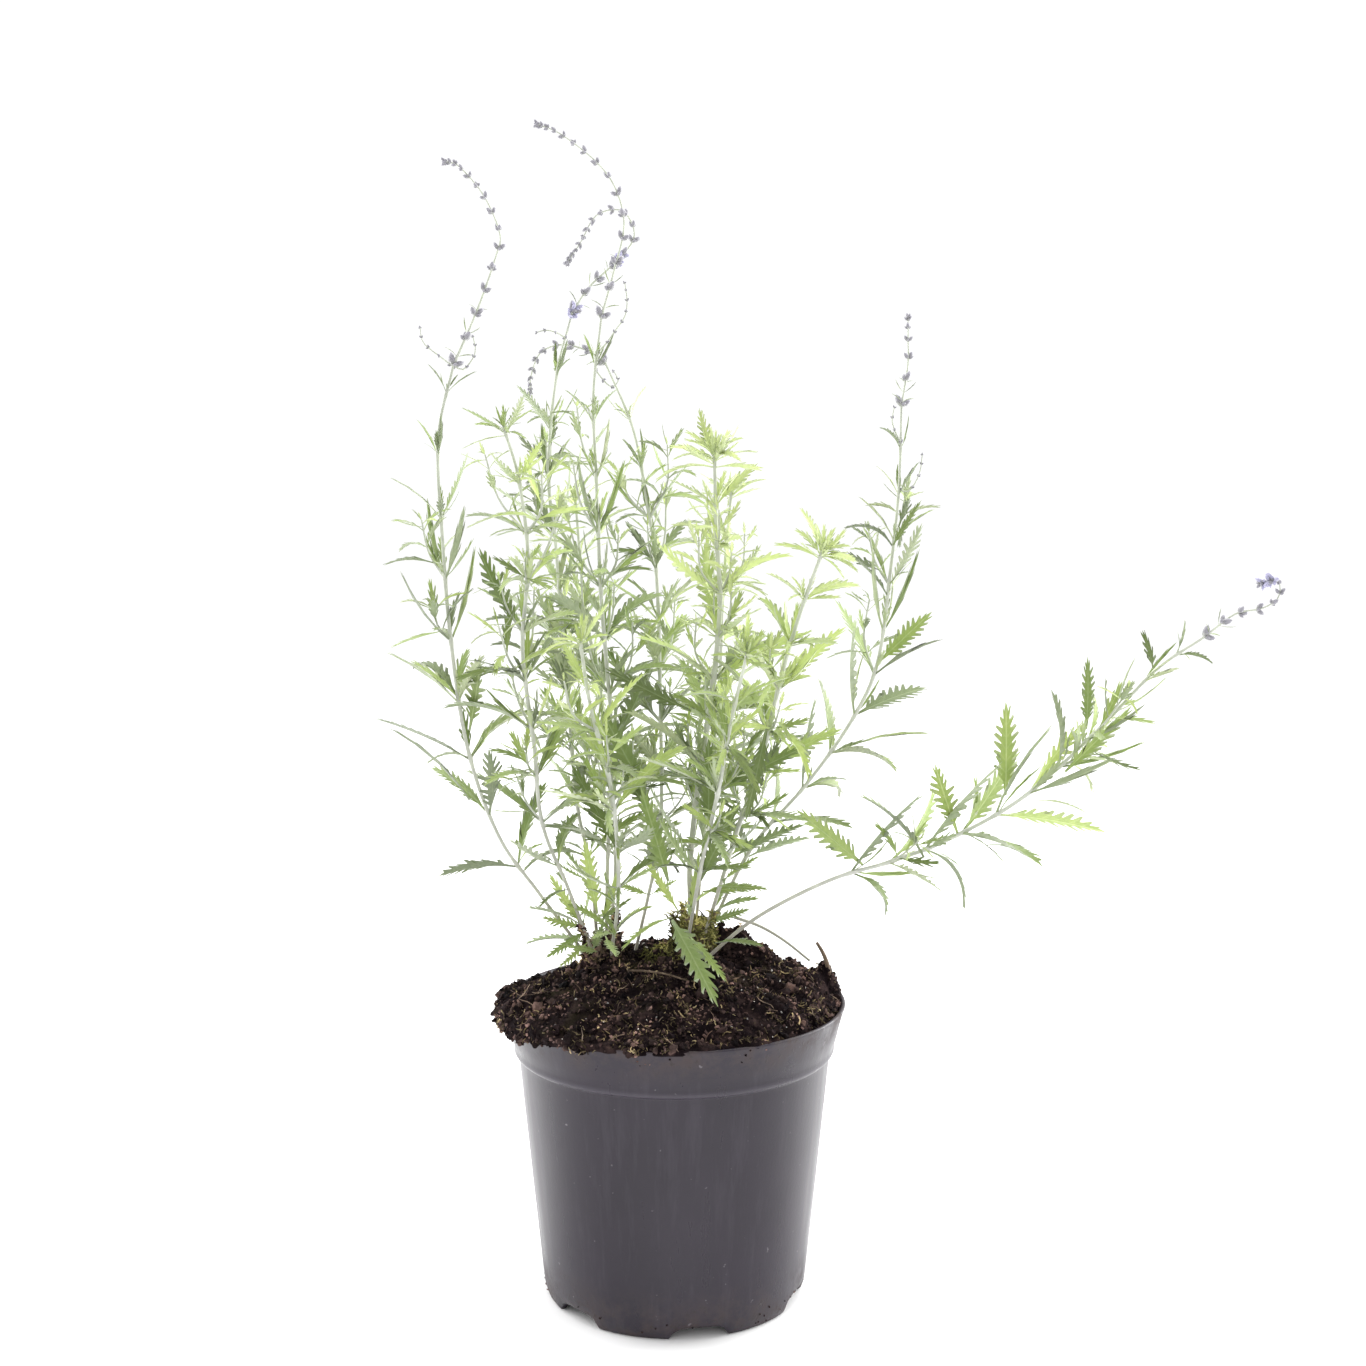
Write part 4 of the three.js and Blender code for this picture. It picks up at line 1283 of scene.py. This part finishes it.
# The spilling edge, ring by ring: radius, bulge, height and droop of a full spill.
SPILL_EDGE = [(84.3, 4.6, 151.6, 2.5), (84.5, 4.4, 150.9, 6.0), (84.2, 3.0, 150.5, 8.5),
              (83.9, 1.8, 150.4, 6.5), (82.2, 0, 150.35, 0)]
# Radius and height of the rings inside the pot, from the rim band down to the floor.
INSIDE_POT = [(80.6, 144), (79.4, 139.3), (76.6, 126.9), (75.2, 122.8), (63.6, 9.8),
              (61.0, 5.6), (45.9, 5.5), (44.2, 1.95)]


def between(pairs, x):
    """Straight-line reading of a table of (x, y) pairs."""
    for (x0, y0), (x1, y1) in zip(pairs, pairs[1:]):
        if x <= x1:
            return y0 + (y1 - y0) * (x - x0) / (x1 - x0)
    return pairs[-1][1]


def spill(angle):
    """How far the peat spills over the rim at this angle, 0 to about 1."""
    turn = math.degrees(angle) % 360
    total = 0
    for centre, width, amount in SPILLS:
        off = (turn - centre + 180) % 360 - 180
        total += amount * math.exp(-(off / width) ** 2)
    ragged = noise.noise(polar(3, angle, 5)) * 0.35 + noise.noise(polar(11, angle, 9)) * 0.45
    return max(total * (1 + ragged), 0)


def over_rim(angle):
    """0 where the peat stays inside the rim, 1 where it lies across it."""
    return min(max((spill(angle) - 0.08) / 0.22, 0), 1)


def mound_height(x, y):
    """Height of the peat over a place. It dips before the rim where nothing spills over."""
    height = between(MOUND, math.hypot(x, y))
    for (cx, cy), radius, rise in LUMPS:
        height += rise * math.exp(-((x - cx) ** 2 + (y - cy) ** 2) / (radius * 0.8) ** 2)
    near_rim = min(max((math.hypot(x, y) - DIP_FROM) / DIP_WIDTH, 0), 1)
    height -= DIP_DEPTH * near_rim * (1 - over_rim(math.atan2(y, x)))
    spot = Vector((x, y, 0))
    height += 2.4 * noise.noise(spot * 0.05) + 2.6 * noise.noise(spot * 0.14)
    return height + 3.2 * abs(noise.noise(spot * 0.3)) - 1.6 + 0.9 * noise.noise(spot * 0.8)


def mound_spot(share, angle, amount, over):
    """A place on the mound's surface at a share of the way out, with a little raggedness."""
    radius = (PEAT_RADIUS + 2.2 * over + 3.4 * amount) * share ** 0.85
    spot = polar(radius, angle, 0)
    rough = noise.noise_vector(Vector((spot.x, spot.y, 3)) * 0.5) * (0.8 if over else 0.3)
    lowest = 149 + 1.6 * over if radius > 80 else 148
    return Vector((spot.x, spot.y, max(mound_height(spot.x, spot.y), lowest))) + rough


def peat_rings():
    """The mound from its middle outward, the spilling edge, and the rings inside the pot."""
    spills = [(a, spill(a), over_rim(a)) for a in ring_turns(MOUND_TURNS)]
    rings = [[Vector((0, 0, mound_height(0, 0)))]]
    for ring in range(1, MOUND_RINGS + 1):
        rings.append([mound_spot(ring / MOUND_RINGS, *state) for state in spills])
    for radius, bulge, height, droop in SPILL_EDGE:
        rings.append([polar(RIM_INSIDE + (radius - RIM_INSIDE) * over + bulge * amount, angle,
                            RIM_LEVEL + (height - RIM_LEVEL) * over - droop * amount)
                      for angle, amount, over in spills])
    for radius, height in INSIDE_POT:
        rings.append([polar(radius, angle, height) for angle in ring_turns(MOUND_TURNS)])
    return rings


def peat_finish():
    """Nearly black, damp peat with browner crumbs and a breath of moss."""
    material, tree, shader = new_finish("damp_peat", roughness=0.95, specular=0.05)
    colour = ramp(tree, speckle(tree, 90, 6, 0.7), [
        (0.3, 0.003, 0.0015, 0.002), (0.5, 0.010, 0.006, 0.007), (0.66, 0.045, 0.028, 0.026),
        (0.8, 0.12, 0.080, 0.062)])
    moss = fade(tree, speckle(tree, 35, 4, 0.6), 0.55, 0.72)
    mossy = mix(tree, sums(tree, "MULTIPLY", moss, 0.35), colour, (0.055, 0.048, 0.020))
    tree.links.new(mossy, shader.inputs["Base Color"])
    bump(tree, shader, speckle(tree, 700, 5, 0.7), 0.0012, 1.0)
    return material


# Without a seed, noise_vector starts from the clock, and each run would give other peat.
noise.seed_set(NOISE_SEED)
peat = ring_mesh("peat_mound", peat_rings())
peat.data.materials.append(peat_finish())
finish_piece(peat, "peat", "soil")

# %% [markdown]
# ## Crowns
# Where the stems leave the peat each side has a woody crown: a knobbly brown knot with old
# bark, dead stubs and the feet of this year's stems. Each is a rounded lump pushed about by
# noise, and a few short stubs stand on it.

# %% Crowns
def bark_finish():
    """Old bark, grained along the height."""
    material, tree, shader = new_finish("crown_bark", roughness=0.9)
    grain = speckle(tree, 420, 5, 0.7, (1, 1, 0.35))
    colour = ramp(tree, grain, [(0.3, 0.045, 0.03, 0.02), (0.55, 0.15, 0.105, 0.07),
                                (0.8, 0.34, 0.27, 0.20)])
    tree.links.new(colour, shader.inputs["Base Color"])
    bump(tree, shader, grain, 0.0008, 1.0)
    return material


BARK_FINISH = bark_finish()
STUBS = {"crown_left": [(-6, -4, 16), (5, -5, 12), (3, 6, 18)],
         "crown_right": [(-6, -3, 12), (6, -6, 15), (-3, 6, 14)]}
STUB_RADIUS = 1.5
STUB_STEPS = 4
STUB_CORNERS = 8


def stretched(spot, by):
    """A place scaled by its own amount along X, Y and Z."""
    return Vector((spot.x * by.x, spot.y * by.y, spot.z * by.z))


def add_stub(tool, foot, lean, height, knot):
    """A dead stub: a short, knotty stick with flat ends."""
    rings = []
    for i in range(STUB_STEPS + 1):
        spot = foot + lean * height * MM * i / STUB_STEPS
        radius = (STUB_RADIUS - 0.12 * i) * MM * (1 + 0.2 * math.sin(i * 2.2 + knot))
        rings.append([tool.verts.new(spot + polar(radius, turn, 0))
                      for turn in ring_turns(STUB_CORNERS)])
    tool.faces.new(list(reversed(rings[0])))
    tool.faces.new(rings[-1])
    join_rings(tool, rings)


def crown_mesh(name, low, high):
    """A ball fitted to the CAD crown's box and pushed about by noise, with its stubs."""
    tool = bmesh.new()
    bmesh.ops.create_icosphere(tool, subdivisions=4, radius=1.0)
    centre, half = (low + high) / 2, (high - low) / 2
    for vert in tool.verts:
        push = 1 + 0.22 * noise.noise(vert.co * 2.2) + 0.1 * noise.noise(vert.co * 6)
        vert.co = stretched(vert.co, half) * push * 0.92 + centre
    for x, y, height in STUBS[name]:
        foot = centre + Vector((x, y, half.z / MM * 0.3)) * MM
        add_stub(tool, foot, Vector((x * 0.06, y * 0.06, 1)).normalized(), height, x)
    for face in tool.faces:
        face.smooth = True
    return mesh_of(tool, f"sage_{name}")


crowns = {}
for name in STUBS:
    crown = in_scene(f"sage_{name}", crown_mesh(name, *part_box(name)))
    crown.data.materials.append(BARK_FINISH)
    crowns[name] = finish_piece(crown, "crown_wood", name)

# %% [markdown]
# ## Crumbs, moss and fibres
# The surface of peat is litter: crumbs of every size, olive strands of moss, pale roots and a
# few white grains. Moss also grows on the crowns, and some crumbs stick to the pot. A copy of
# the surface is the ground for a scattering tree. It drops points there with a fixed seed,
# denser in patches, and stands one of a few small patterns on each.

# %% Litter patterns
STRAND_STEPS = 5
STRAND_TURNS = (0, 2.09, 4.19)


def crumb_pattern(name, detail, seed):
    """A rough lump of about one unit."""
    tool = bmesh.new()
    bmesh.ops.create_icosphere(tool, subdivisions=detail, radius=0.5)
    dice = random.Random(seed)
    stretch = Vector((dice.uniform(0.7, 1.5), dice.uniform(0.6, 1.1), dice.uniform(0.5, 0.9)))
    for vert in tool.verts:
        push = 1 + 0.7 * noise.noise(vert.co * 3.1 + Vector((seed, 0, 0)))
        vert.co = stretched(vert.co, stretch) * push
    return bpy.data.objects.new(name, mesh_of(tool, name))


def strand_pattern(name, seed, thick, wander):
    """A bent, three-sided strand of one unit length, closed at both ends."""
    dice = random.Random(seed)
    place, heading = Vector((-0.5, 0, 0)), Vector((1, 0, dice.uniform(0, 0.5))).normalized()
    tool = bmesh.new()
    rings = []
    for i in range(STRAND_STEPS + 1):
        radius = thick * (1 - 0.7 * abs(i / STRAND_STEPS - 0.4))
        side = heading.cross(Vector((0, 0.2, 1))).normalized()
        up = heading.cross(side)
        rings.append([tool.verts.new(place + (side * math.cos(a) + up * math.sin(a)) * radius)
                      for a in STRAND_TURNS])
        place = place + heading / STRAND_STEPS
        heading = (heading + Vector([dice.uniform(-wander, wander) for _ in range(3)])).normalized()
    tool.faces.new(rings[0])
    tool.faces.new(list(reversed(rings[-1])))
    join_rings(tool, rings)
    bmesh.ops.recalc_face_normals(tool, faces=tool.faces[:])
    return bpy.data.objects.new(name, mesh_of(tool, name))


def pattern_box(name, made):
    """A collection of patterns that stays out of the scene."""
    box = bpy.data.collections.new(name)
    for thing in made:
        box.objects.link(thing)
    return box


FINE_CRUMBS = pattern_box("fine crumbs", [crumb_pattern(f"crumb_{i}", 1, i) for i in range(5)])
CLODS = pattern_box("clods", [crumb_pattern(f"clod_{i}", 2, 20 + i) for i in range(5)])
MOSS = pattern_box("moss", [strand_pattern(f"moss_{i}", 40 + i, 0.085, 0.8) for i in range(5)])
ROOTS = pattern_box("roots", [strand_pattern(f"root_{i}", 60 + i, 0.026, 0.4) for i in range(5)])

# %% Scatter the litter
# How far a piece may turn each way, in radians: round the ground's own up, and in all ways.
SPIN = 3.2
ANY_WAY = 3.1


def litter_tree():
    """Patterns strewn over a surface, each with its own size, turn and shade."""
    tree, given = new_growth("litter", {
        "Patterns": "NodeSocketCollection", "Density": "NodeSocketFloat", "Seed": "NodeSocketInt",
        "Smallest": "NodeSocketFloat", "Largest": "NodeSocketFloat", "Tilt": "NodeSocketFloat",
        "Patchiness": "NodeSocketFloat", "Finish": "NodeSocketMaterial"})
    patch = put(tree, "ShaderNodeTexNoise", {"Scale": 55.0, "Detail": 2.0})
    thinned = put(tree, "ShaderNodeMapRange", {"Value": patch.outputs[0], "From Min": 0.4,
                  "From Max": 0.6, "To Min": 0.0, "To Max": 2.0})
    patchy = put(tree, "ShaderNodeMix", {0: given["Patchiness"], 2: 1.0, 3: thinned.outputs[0]})
    strewn = put(tree, "GeometryNodeDistributePointsOnFaces", {
        "Mesh": given["Geometry"], "Seed": given["Seed"],
        "Density": sums(tree, "MULTIPLY", given["Density"], patchy.outputs[0])})
    size = put(tree, "FunctionNodeRandomValue", {2: given["Smallest"], 3: given["Largest"],
               "Seed": given["Seed"]}, data_type="FLOAT")
    tilt = put(tree, "ShaderNodeCombineXYZ", {0: given["Tilt"], 1: given["Tilt"], 2: SPIN})
    low = put(tree, "ShaderNodeVectorMath", {0: tilt.outputs[0], "Scale": -1.0}, operation="SCALE")
    turn = put(tree, "FunctionNodeRandomValue", {0: low.outputs[0], 1: tilt.outputs[0],
               "Seed": given["Seed"]}, data_type="FLOAT_VECTOR")
    spin = put(tree, "FunctionNodeEulerToRotation", {0: turn.outputs[0]})
    laid = put(tree, "FunctionNodeRotateRotation", {"Rotation": strewn.outputs["Rotation"],
               "Rotate By": spin.outputs[0]}, rotation_space="LOCAL")
    placed = put(tree, "GeometryNodeInstanceOnPoints", {
        "Points": strewn.outputs["Points"], "Instance": pattern_pool(tree, given["Patterns"]),
        "Pick Instance": True, "Rotation": laid.outputs[0], "Scale": size.outputs["Value"]})
    shade = put(tree, "FunctionNodeRandomValue", {2: 0.0, 3: 1.0, "Seed": 5}, data_type="FLOAT")
    toned = put(tree, "GeometryNodeStoreNamedAttribute", {"Geometry": placed.outputs[0],
                "Name": "shade", "Value": shade.outputs["Value"]}, data_type="FLOAT",
                domain="INSTANCE")
    litter = painted(tree, toned.outputs[0], given["Finish"])
    put(tree, "NodeGroupOutput", {"Geometry": litter})
    return tree


def litter_finish(name, dark, light):
    """From dark to light by the shade of each piece, most of them dark, in broad patches."""
    material, tree, shader = new_finish(name, roughness=0.9, specular=0.08)
    middle = [a + 0.2 * (b - a) for a, b in zip(dark, light)]
    colour = ramp(tree, mark(tree, "shade"), [(0.0, *dark), (0.65, *middle), (1.0, *light)])
    patch = ramp(tree, speckle(tree, 80, 4, 0.7), [(0.36, 0.2, 0.18, 0.22), (0.5, 0.8, 0.8, 0.85),
                                                  (0.64, 2.4, 2.25, 2.25)])
    tree.links.new(mix(tree, 1.0, colour, patch, "MULTIPLY"), shader.inputs["Base Color"])
    bump(tree, shader, speckle(tree, 2500, 3), 0.0003)
    return material


def surface_of(piece, keep):
    """A carrier made of the faces of a piece whose middle passes a test, in millimetres."""
    tool = bmesh.new()
    tool.from_mesh(piece.data)
    gone = [f for f in tool.faces if not keep(f.calc_center_median() / MM)]
    bmesh.ops.delete(tool, geom=gone, context="FACES")
    return in_scene(f"surface_{piece.name}", mesh_of(tool, f"surface_{piece.name}"))


def open_peat(p):
    """The peat that can be seen: inside the rim, or where it lies across the rim."""
    radius = math.hypot(p.x, p.y)
    return (p.z > 148 and radius < 81) or (over_rim(math.atan2(p.y, p.x)) > 0.5
                                           and (p.z > 151 or radius > 85.4))


def peat_edge(p):
    """The outermost part of the peat that can be seen."""
    return math.hypot(p.x, p.y) > 78 and open_peat(p)


def sticky_pot(p):
    """The outside of the pot under the spills, and just above the ground."""
    radius = math.hypot(p.x, p.y)
    rim = 139 < p.z < 149 and radius > 81 and spill(math.atan2(p.y, p.x)) > 0.2
    return rim or (2.5 < p.z < 9 and radius > FOOT_RADIUS)


def ridge(p):
    """The lump of peat between the two crowns."""
    return abs(p.x + 5) < 12 and abs(p.y - 1) < 9 and p.z > 150


def above(level):
    """A test for what is higher than a level, in millimetres."""
    return lambda p: p.z > level


LITTER_TREE = litter_tree()
CRUMB_FINISH = litter_finish("peat_crumbs", (0.004, 0.002, 0.003), (0.20, 0.13, 0.11))
CLOD_FINISH = litter_finish("peat_clods", (0.005, 0.003, 0.004), (0.10, 0.066, 0.055))
MOSS_FINISH = litter_finish("moss_strands", (0.035, 0.026, 0.013), (0.34, 0.275, 0.15))
ROOT_FINISH = litter_finish("pale_roots", (0.06, 0.04, 0.03), (0.42, 0.33, 0.24))
GRAIN_FINISH = litter_finish("white_grains", (0.45, 0.43, 0.38), (0.75, 0.73, 0.68))
CROWN_MOSS_FINISH = litter_finish("crown_moss", (0.14, 0.14, 0.04), (0.50, 0.48, 0.19))
# Name, ground, where on it, patterns, number per square metre, seed, smallest and largest size
# in millimetres, tilt in radians, patchiness from 0 to 1, finish.
LITTER = [
    ("fine_crumbs", peat, open_peat, FINE_CRUMBS, 170000, 3, 0.8, 2.4, ANY_WAY, 0.2, CRUMB_FINISH),
    ("clods", peat, open_peat, CLODS, 11000, 4, 2.2, 5.5, ANY_WAY, 0.4, CLOD_FINISH),
    ("edge_clods", peat, peat_edge, CLODS, 24000, 14, 2.0, 4.5, ANY_WAY, 0.3, CLOD_FINISH),
    ("moss", peat, open_peat, MOSS, 85000, 5, 1.5, 5.0, 0.9, 1.0, MOSS_FINISH),
    ("edge_moss", peat, peat_edge, MOSS, 130000, 15, 1.5, 5.5, 1.0, 0.9, MOSS_FINISH),
    ("roots", peat, open_peat, ROOTS, 5000, 6, 3.0, 12.0, 0.6, 0.6, ROOT_FINISH),
    ("white_grains", peat, open_peat, FINE_CRUMBS, 2200, 7, 0.7, 1.6, ANY_WAY, 0.0, GRAIN_FINISH),
    ("crown_moss", crowns["crown_right"], above(172), MOSS, 900000, 8, 3.0, 7.0, 0.9, 0.2,
     CROWN_MOSS_FINISH),
    ("ridge_moss", peat, ridge, MOSS, 900000, 28, 2.0, 5.0, 0.9, 0.4, CROWN_MOSS_FINISH),
    ("left_crown_moss", crowns["crown_left"], above(168), MOSS, 400000, 18, 2.0, 6.0, 0.9, 0.6,
     MOSS_FINISH),
    ("crown_crumbs", crowns["crown_left"], above(160), FINE_CRUMBS, 600000, 19, 1.0, 3.0,
     ANY_WAY, 0.4, CRUMB_FINISH),
    ("stuck_crumbs", pot, sticky_pot, FINE_CRUMBS, 16000, 9, 0.6, 1.5, ANY_WAY, 0.8,
     CRUMB_FINISH)]
for name, ground, place, box, density, seed, small, large, tilt, patchy, finish in LITTER:
    piece = grow(surface_of(ground, place), LITTER_TREE, {
        "Patterns": box, "Density": float(density), "Seed": seed, "Smallest": small * MM,
        "Largest": large * MM, "Tilt": tilt, "Patchiness": patchy, "Finish": finish}, name)
    finish_piece(piece, "peat")

# %% [markdown]
# ## Sticks
# A dry leaf stalk leans over the peat at the right, a broken twig stands in the lump beside
# the rim, and two roots come out of the peat at the left. They follow given routes and use
# the stem tree. The radii are those of the two ends.

# %% Sticks
STICKS = {
    "dry_stalk": ([(30, 12, 189), (43, 13, 184), (55, 12, 177), (68, 10, 167)], (1.0, 0.7), "stem"),
    "broken_twig": ([(78, 2, 160), (76, 3, 168), (74, 4, 173), (71, 4, 178)], (1.5, 0.8), "bark"),
    "open_root": ([(-22, -22, 171), (-12, -27, 172), (-2, -30, 171), (10, -34, 168)], (0.6, 0.4),
                  "bark"),
    "left_root": ([(-38, -6, 172), (-37, -5, 180), (-40, -4, 186)], (1.6, 0.9), "bark")}
STICK_STEP = 2
for name, (points, (first, last), kind) in STICKS.items():
    route = Route(in_metres(points))
    shares = even_shares(route.length, STICK_STEP * MM)
    carrier = row_carrier(f"rows_{name}", [[route.at(s)[0] for s in shares]],
                          {"thickness": [(first + (last - first) * s) * MM for s in shares],
                           "along": [0.1 for _ in shares]})
    finish = STEM_FINISH if kind == "stem" else BARK_FINISH
    settings = {"Corner": SQUARE_CORNER, "Finish": finish}
    finish_piece(grow(carrier, STEM_TREE, settings, name), "crown_wood")

# %% [markdown]
# ## Closing
# The patterns have done their work and go.

# %% Closing
for cluster in (BUD_CLUSTER, FLOWER_CLUSTER):
    bpy.data.objects.remove(cluster)
for box in (patterns, FINE_CRUMBS, CLODS, MOSS, ROOTS):
    for pattern in list(box.objects):
        bpy.data.objects.remove(pattern)
    bpy.data.collections.remove(box)
